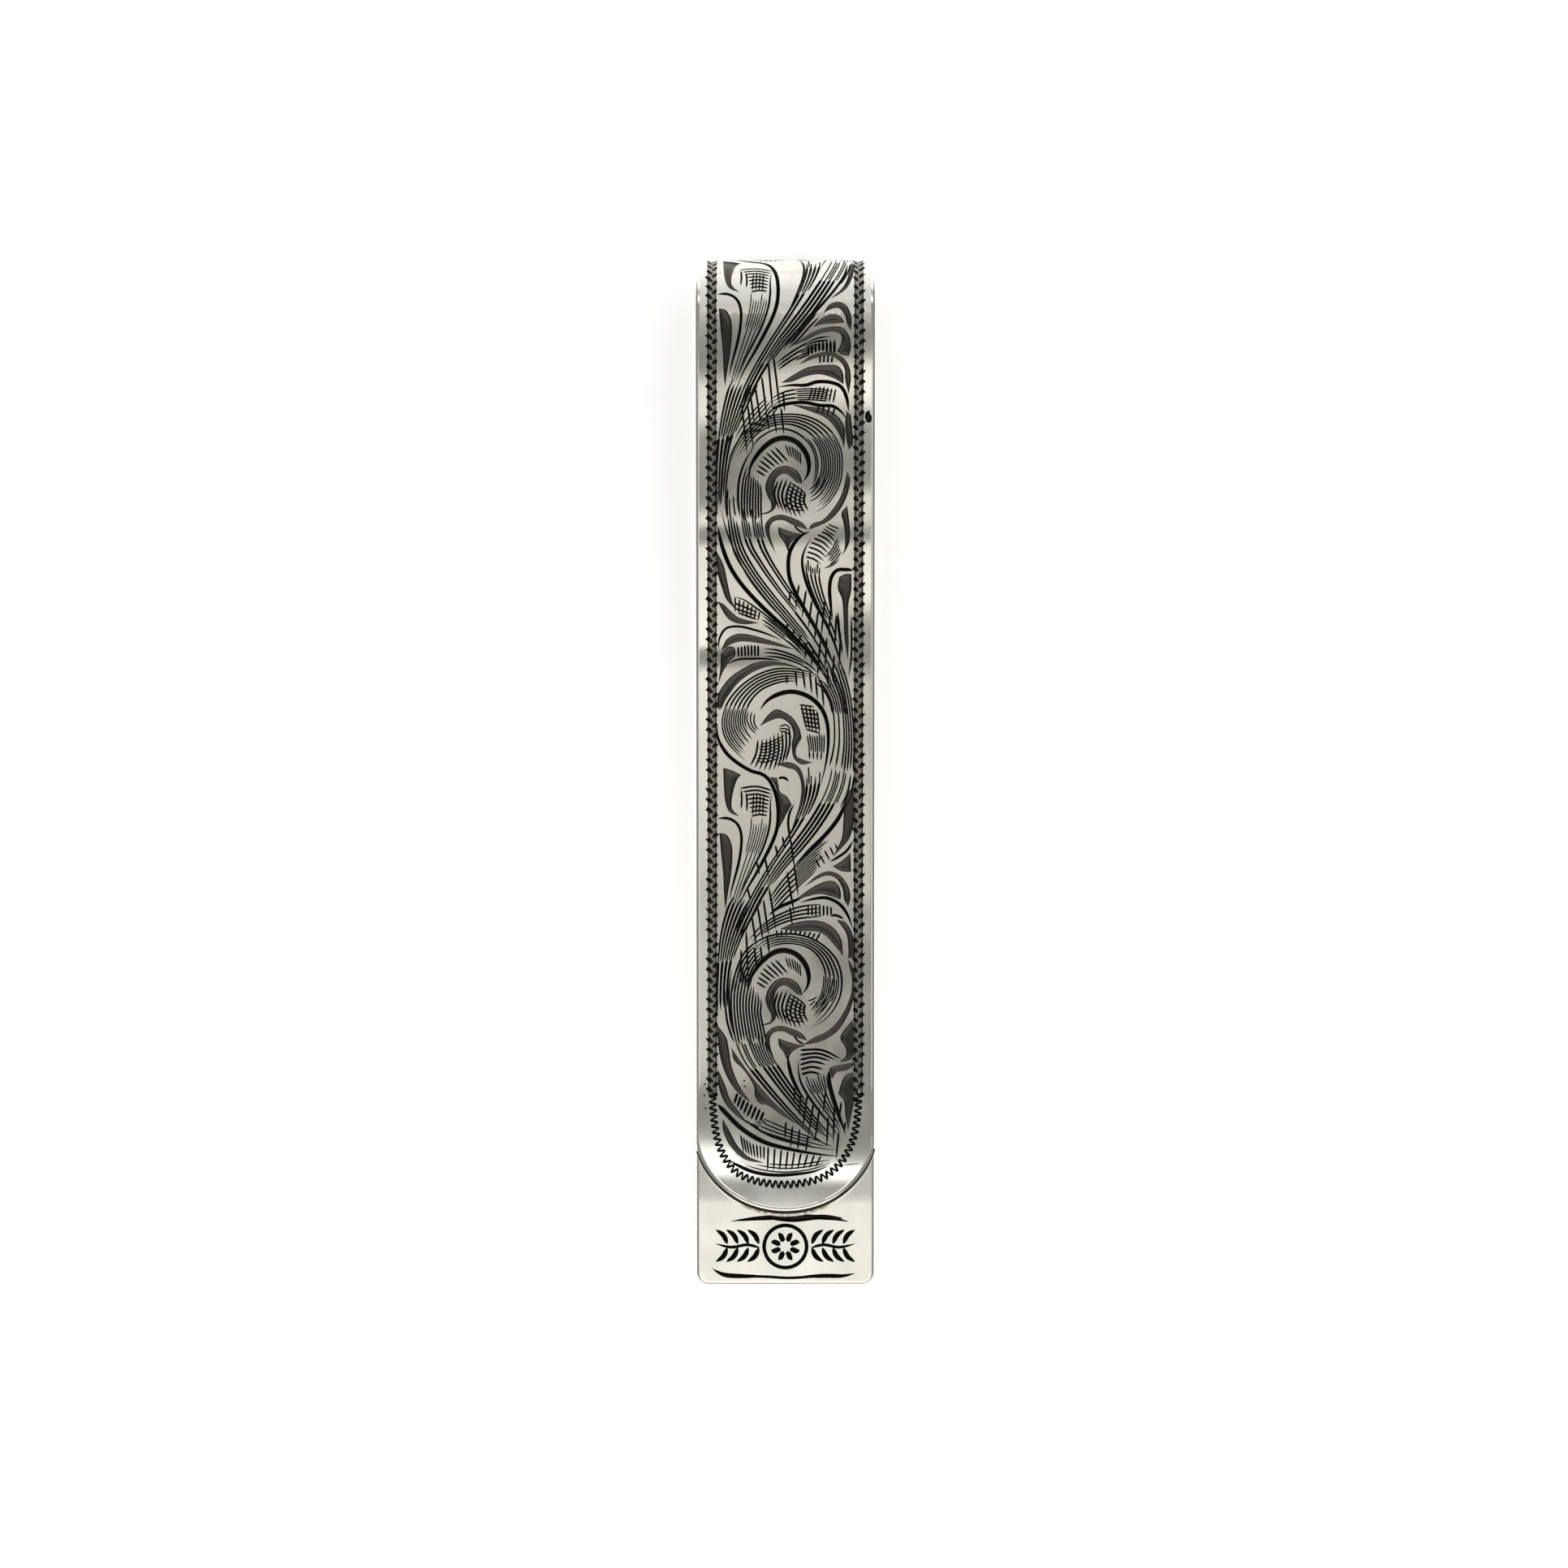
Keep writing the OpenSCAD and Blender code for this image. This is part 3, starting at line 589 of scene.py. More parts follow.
def upper_scroll():
    """What lies round the eye of the upper scroll."""
    band([(-3.95, 20.6), (-3.9, 21.9), (-3.3, 23.2), (-2.3, 24.3), (-1.1, 24.9), (0.1, 25.05),
          (1.3, 24.95), (2.4, 24.5), (3.3, 23.7), (3.85, 22.6), (3.95, 21.5), (3.8, 20.3),
          (3.25, 19.25), (2.5, 18.5), (1.5, 18.05)],
         [(-2.9, 21.3), (-2.6, 22.2), (-2.0, 23.2), (-1.2, 23.8), (-0.3, 24.05), (0.6, 23.85),
          (1.3, 23.4), (1.85, 22.7), (2.1, 21.9), (2.1, 21.2), (2.0, 20.7), (1.85, 20.4),
          (1.75, 20.2), (1.7, 20.0), (1.6, 19.9)],
         13, FINE, t0=(0, 0.06), skip=(10,))
    band([(3.0, 20.6), (2.7, 19.9), (2.2, 19.3), (1.6, 19.0)],
         [(2.4, 20.9), (2.2, 20.4), (1.9, 20.0), (1.55, 19.75)], 4, HAIR)
    pool([(0.4, 25.72), (1.6, 25.6), (2.8, 25.4), (3.6, 24.95), (4.1, 24.2), (4.15, 23.4),
          (4.05, 22.7)],
         [(3.9, 23.3), (3.4, 24.2), (2.7, 24.85), (1.7, 25.25)])
    pool([(4.25, 25.3), (4.15, 24.4), (4.25, 23.3), (4.4, 22.6)],
         [(4.7, 23.0), (4.65, 24.0), (4.55, 25.0)],
         [])
    # rim of the scroll and the ground under it
    pool([(4.3, 21.15), (4.5, 20.5), (4.35, 19.6), (3.9, 18.6), (3.2, 17.8), (2.4, 17.35),
          (1.6, 17.05)],
         [(1.9, 17.5), (2.6, 17.75), (3.3, 18.5), (3.85, 19.4), (4.15, 20.4)])
    # the vine on its left
    cut([(-4.55, 18.6), (-4.45, 20.0), (-4.35, 21.4), (-4.1, 22.8), (-3.6, 24.2)], 0.16, 0.3, 0.5)
    cut([(-4.1, 17.6), (-4.15, 19.2), (-4.05, 20.8), (-3.7, 22.3), (-3.0, 23.6)], 0.13, 0.3, 0.5)
    cut([(-3.15, 17.9), (-3.3, 19.2), (-3.2, 20.6), (-2.75, 21.9), (-2.1, 22.9)], 0.17, 0.2, 0.5)
    band([(-4.0, 17.7), (-4.05, 18.8), (-4.0, 20.0)], [(-3.45, 17.8), (-3.6, 18.9), (-3.6, 20.2)],
         4, FINE, skip=(2,))
    band([(-2.95, 17.6), (-3.05, 18.8), (-2.95, 20.4), (-2.6, 21.6)],
         [(-1.65, 17.7), (-1.7, 18.6), (-1.7, 19.7), (-1.85, 20.6)], 8, FINE, start=0.12)
    band([(-4.75, 17.6), (-4.8, 20.2), (-4.7, 22.6), (-4.45, 24.6), (-4.0, 26.6), (-3.45, 27.8)],
         [(-4.3, 18.9), (-4.1, 21.2), (-3.7, 23.2), (-3.0, 24.9), (-2.2, 26.6), (-1.75, 27.3)],
         8, LINE, start=0.15, end=0.2)
    band([(-3.6, 23.2), (-2.9, 24.4), (-2.1, 25.4), (-1.2, 26.3)],
         [(-2.2, 23.4), (-1.6, 24.2), (-0.9, 25.0), (-0.3, 25.9)], 6, HAIR)
    # cross-hatching
    hatch((-0.85, 29.2, 25.2, -0.5), (-1.2, 28.8, 25.0, -0.35), (-0.3, 25.5, 23.6, -0.2),
          (-0.85, 25.3, 23.7, -0.25), (-1.35, 25.2, 23.9, -0.25), (-2.65, 25.9, 22.5, -0.45),
          (-3.05, 25.8, 22.2, -0.4), (-1.9, 25.7, 24.4, -0.2), (-1.65, 27.7, 25.0, -0.35),
          (-2.1, 27.0, 25.0, -0.3), (-2.45, 26.6, 24.3, -0.3), (-0.15, 26.6, 25.2, -0.1))


def top_leaves():
    """The lobes at the right between the upper scroll and the bend."""
    # hatched leaf over the scroll
    cut([(-1.4, 25.0), (-0.6, 25.55), (0.3, 25.8), (1.4, 25.85), (2.4, 25.65), (3.3, 25.6),
         (3.9, 25.2), (4.25, 24.7)], 0.26, 0.3, 0.3)
    rungs([(1.9, 26.9), (2.6, 27.0), (3.5, 26.8)], [(1.6, 25.95), (2.4, 25.9), (3.3, 25.8)],
          7, 0.13, start=0.1, end=0.3)
    rungs([(2.3, 25.5), (2.9, 25.5), (3.4, 25.4)], [(2.2, 25.2), (2.8, 25.1), (3.3, 25.0)],
          4, FINE, start=0, end=0)
    band([(3.6, 26.5), (2.6, 26.75), (1.4, 26.8), (0.0, 26.6), (-1.2, 26.0)],
         [(3.4, 25.9), (2.4, 26.0), (1.2, 26.05), (0.0, 25.95), (-1.0, 25.5)],
         6, FINE)
    cut([(-0.6, 26.9), (0.4, 27.05), (1.4, 27.05), (2.2, 27.28), (3.1, 27.25), (3.85, 26.95),
         (4.25, 26.2), (4.4, 25.2)], 0.26, 0.4, 0.2)
    # plain pool and the lobe over it
    pool([(-0.3, 27.2), (0.6, 27.8), (1.6, 28.3), (2.8, 28.45), (3.6, 28.4), (4.0, 27.9),
          (4.05, 27.1)],
         [(3.3, 27.55), (2.3, 27.8), (1.3, 27.62), (0.5, 27.3)])
    pool([(0.9, 28.45), (1.8, 29.1), (3.0, 29.38), (3.8, 29.1), (4.35, 28.5), (4.55, 27.6),
          (4.4, 26.4)],
         [(4.15, 27.4), (4.1, 28.2), (3.7, 28.75), (3.0, 29.08), (1.9, 28.85)])
    rungs([(2.4, 28.95), (2.8, 29.0), (3.25, 28.95)], [(2.4, 28.6), (2.8, 28.62), (3.2, 28.62)],
          4, FINE, start=0, end=0)
    # hatched leaf and the lobe over it
    rungs([(1.6, 29.8), (2.4, 30.1), (3.4, 30.2)], [(1.6, 29.05), (2.4, 29.35), (3.4, 29.25)],
          8, LINE, start=0.4, end=0.1)
    band([(3.4, 30.4), (2.3, 30.3), (1.2, 29.8), (0.1, 29.1), (-0.8, 28.4)],
         [(1.7, 29.2), (1.0, 28.9), (0.3, 28.55), (-0.2, 28.2), (-0.6, 27.9)], 6, FINE)
    pool([(0.5, 29.75), (1.3, 30.35), (2.2, 30.85), (3.0, 31.05), (3.9, 31.05), (4.4, 30.5),
          (4.55, 29.7), (4.4, 29.05)],
         [(3.9, 29.15), (3.6, 29.4)],
         [(3.85, 29.9), (3.85, 30.5), (3.2, 30.75), (2.3, 30.55), (1.5, 30.15)])
    # uppermost lobe
    pool([(1.9, 31.05), (2.5, 31.65), (3.2, 31.95), (3.8, 31.8), (4.1, 31.35)],
         [(3.4, 31.3), (2.6, 31.25)])
    pool([(2.6, 32.0), (3.1, 32.65), (3.8, 32.8), (4.35, 32.4), (4.6, 31.6), (4.55, 30.8)],
         [(4.3, 31.2), (4.1, 31.9), (3.7, 32.35), (3.2, 32.3)])
    band([(1.9, 32.2), (1.2, 31.3), (0.5, 30.4), (-0.2, 29.4)],
         [(2.5, 31.9), (1.7, 31.1), (0.9, 30.2), (0.1, 29.5)], 3, FINE)
    # ground at the edge, by the stem
    pool([(4.7, 36.6), (4.75, 35.2), (4.4, 34.0), (3.8, 33.4), (3.1, 33.0)],
         [(3.9, 33.75), (4.3, 34.6), (4.45, 35.6)])
    cut([(4.35, 36.2), (4.1, 34.9), (3.5, 33.8), (2.7, 32.8), (1.8, 31.8), (0.9, 30.7),
         (0.1, 29.7)], LINE, 0.2, 0.4)


def marks():
    """Small pits and scratches from use."""
    for x, y in ((-5.65, -21.7), (-5.68, -22.5), (-5.6, -23.4), (-2.9, -21.45), (-2.85, -21.85)):
        cut([(x, y + 0.07), (x + 0.02, y - 0.07)], 0.15)
    cut([(4.0, -27.32), (5.2, -27.2)], 0.06)
    # a dent at the border's right edge
    cuts(0.32, [(5.8, 25.3), (5.68, 24.95), (5.74, 24.55)], [(5.87, 25.05), (5.82, 24.45)])


def since(mark, move):
    """Moves every stroke and pool drawn after mark, which is (len(strokes), len(pools))."""
    for k in range(mark[0], len(strokes)):
        strokes[k] = ([move(p) for p in strokes[k][0]], strokes[k][1])
    for k in range(mark[1], len(pools)):
        pools[k] = [move(p) for p in pools[k]]


SCROLL_RISE = 35.7      # from the eye of the lower scroll to the eye of the upper one
REPEAT = 36.4           # after which the middle scroll comes again, round the bend
APEX = 38.0             # past the top of the bend the drawing is squeezed by SQUEEZE
SQUEEZE = 0.83


def draw_all():
    """Draws the whole scroll, from the root at the tip to its end on the bend."""
    root()
    eye()
    lower_scroll()
    lower_leaves()
    middle_scroll()
    middle_vine()
    upper_vine()
    mark = (len(strokes), len(pools))
    eye()
    since(mark, lambda p: (p[0], p[1] + SCROLL_RISE))
    upper_scroll()
    top_leaves()
    mark = (len(strokes), len(pools))
    middle_scroll(with_bud=False)
    middle_vine()
    since(mark, lambda p: (p[0], squeezed(p[1] + REPEAT)))


def squeezed(y):
    """Where a point y of the drawing comes once the part past APEX is squeezed."""
    return y if y < APEX else APEX + (y - APEX) * SQUEEZE


# ---------------------------------------------------------------- engraving: border and tab
BORDER_IN, BORDER_OUT = 4.84, 5.38
BORDER_TOP = 43.3
BORDER_LOW, BORDER_END = -22.4, -28.5       # where the sides end, and the foot of the border
SIDE_PITCH, TIP_PITCH = 0.7, 0.42
SIDE_SPARE = 0.05                           # how far the side's ground reaches past its cups
TOOTH = 0.31                                # half the width of the zigzag round the tip
NUDGE = 0.002                               # share of the zigzag's path used to find its direction


def border():
    """The wriggle cut that frames the scroll, made by rocking a flat graver from side to side."""
    count = round((BORDER_TOP - BORDER_LOW) / SIDE_PITCH)
    for side in (-1, 1):
        inner, outer = side * (BORDER_IN - SIDE_SPARE), side * (BORDER_OUT + SIDE_SPARE)
        pool([(outer, BORDER_TOP), (outer, 10), (outer, BORDER_LOW)],
             [(inner, BORDER_LOW)],
             [(inner, 10), (inner, BORDER_TOP)],
             [])
        for k in range(count):
            y = BORDER_TOP - 0.2 - SIDE_PITCH * (k + 0.5 * (side > 0))
            cut([(side * BORDER_OUT, y + 0.08), (side * BORDER_OUT, y - 0.02),
                 (side * (BORDER_OUT - 0.3), y - 0.3)], 0.33, 0.2, 0.5)
            y -= SIDE_PITCH / 2
            cut([(side * BORDER_IN, y + 0.08), (side * BORDER_IN, y - 0.02),
                 (side * (BORDER_IN + 0.27), y - 0.27)], 0.3, 0.2, 0.5)
    path = spline([(-5.12, -22.3), (-5.02, -24.0), (-4.75, -25.6), (-4.2, -26.9), (-3.3, -27.9),
                   (-1.9, -28.45), (0, -28.65), (1.9, -28.4), (3.2, -27.8), (4.15, -26.8),
                   (4.75, -25.5), (5.05, -24.0), (5.14, -22.3)], 0.05)
    total = length_along(path)
    teeth = 2 * round(total[-1] / TIP_PITCH)
    edge = []
    for k in range(teeth + 1):
        p, q = at(path, k / teeth, total), at(path, k / teeth + NUDGE, total)
        if k == teeth:
            p, q = at(path, k / teeth - NUDGE, total), p
        size = math.dist(p, q) or 1.0
        off = TOOTH if k % 2 else -TOOTH
        edge.append((p[0] + (q[1] - p[1]) / size * off, p[1] + (p[0] - q[0]) / size * off))
    for k, (p, q) in enumerate(zip(edge, edge[1:])):
        cut([p, q], 0.18 if k % 2 else 0.13, 0.15, 0.15)


def tab_ornament():
    """A plain punched ornament on the thumb tab: a rosette between two sprays of leaves."""
    middle = -33.2
    for k in range(8):
        a = math.radians(45 * k + 22.5)
        c, s = math.cos(a), math.sin(a)
        cut([(0.35 * c, middle + 0.35 * s), (1.05 * c, middle + 1.05 * s)], 0.38, 0.3, 0.3)
    ring = [(1.5 * math.cos(math.radians(a)), middle + 1.5 * math.sin(math.radians(a)))
            for a in range(0, 361, 12)]
    stroke(ring, 0.27, 0, 0)
    for side in (-1, 1):
        cut([(side * 1.75, middle - 0.1), (side * 2.7, middle + 0.12), (side * 3.8, middle - 0.05),
             (side * 4.95, middle + 0.2)], 0.22, 0.2, 0.4)
        for k in range(4):
            x = 1.85 + 0.74 * k
            for rise in (1, -1):
                cut([(side * x, middle + 0.05 + 0.1 * rise),
                     (side * (x + 0.3), middle + 0.05 + 0.75 * rise),
                     (side * (x + 0.85), middle + 0.05 + 1.15 * rise)], 0.36, 0.35, 0.5)
    # painted shade and painted reflection: dark cuts for the shade over the ornament under the tip's
    # end, and for the dark reflection along the tab's rounded end
    cuts(0.36, [(-3.9, -31.42), (-2.4, -31.25), (-0.6, -31.13), (1.4, -31.1), (3.2, -31.2),
                (4.5, -31.45)],
         [(-1.2, -31.25), (0.6, -31.3), (2.4, -31.12), (4.1, -31.2)], start=0.4, end=0.3)
    cut([(-3.4, -31.4), (-1.6, -31.2), (0.4, -31.25)], 0.3, 0.5, 0.5)
    cut([(-5.2, -34.7), (-4.6, -35.1), (-3.4, -35.3), (-1.5, -35.33), (0.3, -35.42), (2.4, -35.3),
         (3.9, -35.32), (4.9, -35.15)], 0.2, 0.1, 0.3)
    cut([(-5.1, -34.8), (-4.3, -35.2), (-3.0, -35.3), (-1.0, -35.3)], 0.34, 0.3, 0.7)
    cut([(0.8, -35.35), (2.8, -35.28), (4.0, -35.28), (4.95, -35.1)], 0.3, 0.5, 0.4)



# ---------------------------------------------------------------- the folded strip
HALF_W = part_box("back_leaf")[1].x / MM
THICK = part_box("back_leaf")[1].z / MM
BEND_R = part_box("spring_bend")[1].z / MM / 2
BEND_LENGTH = math.pi * BEND_R
BACK_LENGTH = (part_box("back_leaf")[1].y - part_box("back_leaf")[0].y) / MM
EDGE_R = 0.4
SHOULDER_R = 32.0
GRIP_GAP = 0.15
FLARE_Y = -21.6
FLARE_R = 18.0
FLARE_RUN = 8.9
FLARE_SLOPE = math.radians(2.5)
TIP_SLOPE = math.asin(FLARE_RUN / FLARE_R - math.sin(FLARE_SLOPE))
TIP_R = 6.7
TIP_SIDE_R = 3.0
TAB_R = 1.0


def lean_run(a):
    """Length along Y of the long lean below a shoulder that ends at slope a."""
    return BEND_Y - SHOULDER_R * math.sin(a) - FLARE_Y


# the shoulder's slope that brings the long lean down to the flare's start
SHOULDER_SLOPE = FLARE_SLOPE
flare_z = 2 * THICK + GRIP_GAP + FLARE_R * (1 - math.cos(FLARE_SLOPE))
for _ in range(12):
    drop = 2 * BEND_R - flare_z - SHOULDER_R * (1 - math.cos(SHOULDER_SLOPE))
    SHOULDER_SLOPE = 2 * math.atan(drop / lean_run(SHOULDER_SLOPE)) - FLARE_SLOPE
LEAN_R = lean_run(SHOULDER_SLOPE) / (math.sin(SHOULDER_SLOPE) - math.sin(FLARE_SLOPE))

SHOULDER_LENGTH = SHOULDER_R * SHOULDER_SLOPE
LEAN_LENGTH = LEAN_R * (SHOULDER_SLOPE - FLARE_SLOPE)
TIP_S = -(SHOULDER_LENGTH + LEAN_LENGTH + FLARE_R * (FLARE_SLOPE + TIP_SLOPE))
TAB_S = BEND_LENGTH + BACK_LENGTH
SEAMS = (0.0, BEND_LENGTH / 2, BEND_LENGTH)


def up(a):
    """Normal of an upper surface that falls at slope a towards -Y, as (y, z)."""
    return -np.sin(a), np.cos(a)


def centre_of(point, radius, a, side):
    """The point at a radius from a point of the surface, over it (side 1) or under it (-1)."""
    n = up(a)
    return (point[0] + side * radius * n[0], point[1] + side * radius * n[1])


SHOULDER_C = (BEND_Y, 2 * BEND_R - SHOULDER_R)
SHOULDER_END = centre_of(SHOULDER_C, SHOULDER_R, SHOULDER_SLOPE, 1)
LEAN_C = centre_of(SHOULDER_END, LEAN_R, SHOULDER_SLOPE, 1)
LEAN_END = centre_of(LEAN_C, LEAN_R, FLARE_SLOPE, -1)
FLARE_C = centre_of(LEAN_END, FLARE_R, FLARE_SLOPE, 1)


def strip(s):
    """Point and outward normal of the strip's outer face at s, as arrays y, z, ny, nz."""
    s = np.asarray(s, float)
    bend = s / BEND_R
    shoulder = -s / SHOULDER_R
    lean = SHOULDER_SLOPE - (-s - SHOULDER_LENGTH) / LEAN_R
    flare = FLARE_SLOPE - (-s - SHOULDER_LENGTH - LEAN_LENGTH) / FLARE_R
    zones = [s > BEND_LENGTH, s > 0, s > -SHOULDER_LENGTH, s > -SHOULDER_LENGTH - LEAN_LENGTH]
    slope = np.select(zones[2:], [shoulder, lean], flare)
    radius = np.select(zones[2:], [SHOULDER_R, -LEAN_R], -FLARE_R)
    cy = np.select(zones[2:], [SHOULDER_C[0], LEAN_C[0]], FLARE_C[0])
    cz = np.select(zones[2:], [SHOULDER_C[1], LEAN_C[1]], FLARE_C[1])
    ny = np.select(zones[:2], [0 * s, np.sin(bend)], -np.sin(slope))
    nz = np.select(zones[:2], [0 * s - 1, np.cos(bend)], np.cos(slope))
    y = np.select(zones[:2], [BEND_Y - (s - BEND_LENGTH), BEND_Y + BEND_R * ny], cy + radius * ny)
    z = np.select(zones[:2], [0 * s, BEND_R + BEND_R * nz], cz + radius * nz)
    return y, z, ny, nz


def s_of(y):
    """Place along the strip of design height y."""
    y = np.asarray(y, float)
    shoulder = -SHOULDER_R * np.arcsin(np.clip((BEND_Y - y) / SHOULDER_R, -1, 1))
    lean = np.arcsin(np.clip((y - LEAN_C[0]) / LEAN_R, -1, 1))
    flare = np.arcsin(np.clip((y - FLARE_C[0]) / FLARE_R, -1, 1))
    return np.select(
        [y >= BEND_Y, y >= SHOULDER_END[0], y >= LEAN_END[0]],
        [y - BEND_Y, shoulder, -SHOULDER_LENGTH - LEAN_R * (SHOULDER_SLOPE - lean)],
        -SHOULDER_LENGTH - LEAN_LENGTH - FLARE_R * (FLARE_SLOPE - flare))


# hand-planished waves of the front face: extra tilt in degrees towards the tip, at places y
WAVES_LEFT = [
    (33.2, 0), (32.8, -1), (32.3, 6.5), (31.9, 5.4), (31.2, 2.8), (30.3, -0.7), (29.5, -3.2),
    (28.6, -4.4), (27.8, -1.7), (26.9, 0.4), (25.2, 0.8), (23.5, -1.8), (21.0, -4.6),
    (19.3, -3.4), (17.6, 1.3), (16.7, -4.6), (15.8, 0.6), (12.5, 1.2), (9.2, 1.8), (8.2, -4.6),
    (7.2, 1.0), (3.1, 0.5), (-2.6, 0), (-8.2, -1.0), (-13.9, -0.8), (-19.6, -0.8), (-21.8, -1.3),
    (-23, 0), (-27.8, 0), (-28.5, -1.5), (-29.1, -1.5), (-29.7, -1), (-30.6, 0)]
WAVES_RIGHT = [
    (33.2, 0), (32.8, -1), (32.3, 6.5), (31.9, 5.2), (31.2, 2.8), (30.3, -1.5), (29.5, -0.9),
    (28.6, 0.3), (27.8, 3.5), (26.9, 4.5), (25.2, -1.0), (23.5, -2.6), (21.0, -4.2), (19.3, 0.5),
    (17.6, -0.3), (16.7, -3.2), (15.8, 1.4), (12.5, 1.3), (9.2, -3.8), (8.2, -3.8), (6.5, -0.7),
    (3.1, -1.0), (-2.6, -0.8), (-8.2, -0.9), (-13.9, -3.8), (-19.6, -4.5), (-21.8, -4.2),
    (-23.2, -1), (-24.5, 1), (-25.3, 3.5), (-26.3, 5.5), (-27.3, 4.5), (-28.3, 1), (-29.1, -1.5),
    (-29.7, -1), (-30.6, 0)]
SWELL = 0.04            # greatest height of a wave
WAVE_STEP = 0.1
SMOOTHING, LEVELLING = 7, 61        # window lengths, in steps
WAVES_END = 2           # place along the strip, round the bend, where the waves have died out


def smooth_table(knots):
    """A smooth slope through the knots, and the swell of the short waves in it, on a grid of y."""
    grid = np.arange(-31.0, 37.0, WAVE_STEP)
    ys, vs = zip(*sorted(knots))
    slope = np.interp(grid, ys, vs, 0.0, 0.0)
    kernel, wide = np.hanning(SMOOTHING), np.hanning(LEVELLING)
    slope = np.radians(np.convolve(slope, kernel / kernel.sum(), "same"))
    swell = np.cumsum(slope - np.convolve(slope, wide / wide.sum(), "same")) * WAVE_STEP
    swell -= np.convolve(swell, wide / wide.sum(), "same")
    return grid, slope, SWELL * np.tanh(swell / SWELL)


WAVES = smooth_table(WAVES_LEFT), smooth_table(WAVES_RIGHT)


def wave(x, s, column):
    """Extra slope (column 1) or height (column 2) of the front face, blended across the strip."""
    y = strip(s)[0]
    left, right = (np.interp(y, table[0], table[column]) for table in WAVES)
    share = np.clip((np.asarray(x) / HALF_W + 1) / 2, 0, 1)
    share = share * share * (3 - 2 * share)
    return np.where(np.asarray(s) < WAVES_END, left + (right - left) * share, 0)


TAB_WEAR = math.radians(3.4)        # how steeply the tab's upper face falls towards its end
TAB_WEAR_RUN = 6.4
TAB_WEAR_EASE = 0.6                 # length over which that slope sets in


def worn(s):
    """Slope of the tab's upper face, and how much thinner the strip is there."""
    run = np.clip(np.asarray(s) - TAB_S + TAB_WEAR_RUN, 0, None)
    slope = TAB_WEAR * np.clip(run / TAB_WEAR_EASE, 0, 1)
    return slope, TAB_WEAR * np.clip(run - TAB_WEAR_EASE / 2, 0, None)


# ---------------------------------------------------------------- outline
def arc(cx, cy, r, first, last, step):
    """Points of an arc with their outward normals."""
    count = max(2, math.ceil(abs(math.radians(last - first)) * r / step))
    found = []
    for k in range(count + 1):
        a = math.radians(first + (last - first) * k / count)
        found.append((cx + r * math.cos(a), cy + r * math.sin(a), math.cos(a), math.sin(a)))
    return found


def tip_place(depth):
    """Place along the strip at a depth from the end of the tip, measured square to the tip."""
    return TIP_S + FLARE_R * math.asin(depth / FLARE_R)


def rows():
    """Places along the strip where its straight sides have points."""
    plain_end = TAB_S - TAB_R - TAB_ROWS
    spans = [(tip_place(TIP_DEPTH), 0, 0.4), (0, SEAMS[1], 0.25), (SEAMS[1], SEAMS[2], 0.25),
             (SEAMS[2], plain_end, 3.0), (plain_end, TAB_S - TAB_R, 0.4)]
    found = []
    for first, last, step in spans:
        count = math.ceil((last - first) / step)
        found += [first + (last - first) * k / count for k in range(count)]
    return found + [TAB_S - TAB_R]


TAB_ROWS = 6            # length of the tab that has close rows
BLEND_X = HALF_W - TIP_SIDE_R
TIP_DEPTH = TIP_R - math.sqrt((TIP_R - TIP_SIDE_R) ** 2 - BLEND_X ** 2)
JOIN = math.degrees(math.atan2(TIP_DEPTH - TIP_R, BLEND_X))
ROWS = rows()


def half_outline():
    """Right half of the outline from the tip to the middle of the tab's end."""
    tip = arc(0, TIP_R, TIP_R, -90, JOIN, 0.2)[:-1]
    tip += arc(BLEND_X, TIP_DEPTH, TIP_SIDE_R, JOIN, 0, 0.2)[:-1]
    tip = [(x, tip_place(d), nx, ns) for x, d, nx, ns in tip]
    sides = [(HALF_W, s, 1.0, 0.0) for s in ROWS]
    corner = arc(HALF_W - TAB_R, TAB_S - TAB_R, TAB_R, 0, 90, 0.12)[1:]
    return tip + sides + corner


def outline():
    """The strip's whole outline, as points (x, s) with their outward normals."""
    right = half_outline()
    left = [(-x, s, -nx, ns) for x, s, nx, ns in reversed(right[1:])]
    return right + left


RIM = np.array(outline())


# ---------------------------------------------------------------- grooves
GROOVE = 1.1            # depth of a groove over its half width
DEEPEST = 0.16
FLOOR = 0.13            # depth of the relieved background
WALL = 0.3              # share of that depth which is the dark wall
CORNER = 0.12           # length over which a pool's floor levels out at its rim
CELL = 0.5              # size of the squares in which nearby grooves are looked up
GRID = 0.12             # spacing of the points on a pool's floor
GRID_SPARE = 0.06       # from the edge of a pool's box to the first of those points
RIM_INSET = 0.05        # from a pool's rim to the ring of points that carries its wall
RIM_REACH = 0.25        # share of the floor's depth above which no points are needed
MIDLINE = 0.02          # half width above which a groove gets a line of points down its middle
MERGE = 1e-5            # points closer than this become one
TINY = 1e-12            # keeps divisions by a length or its square safe


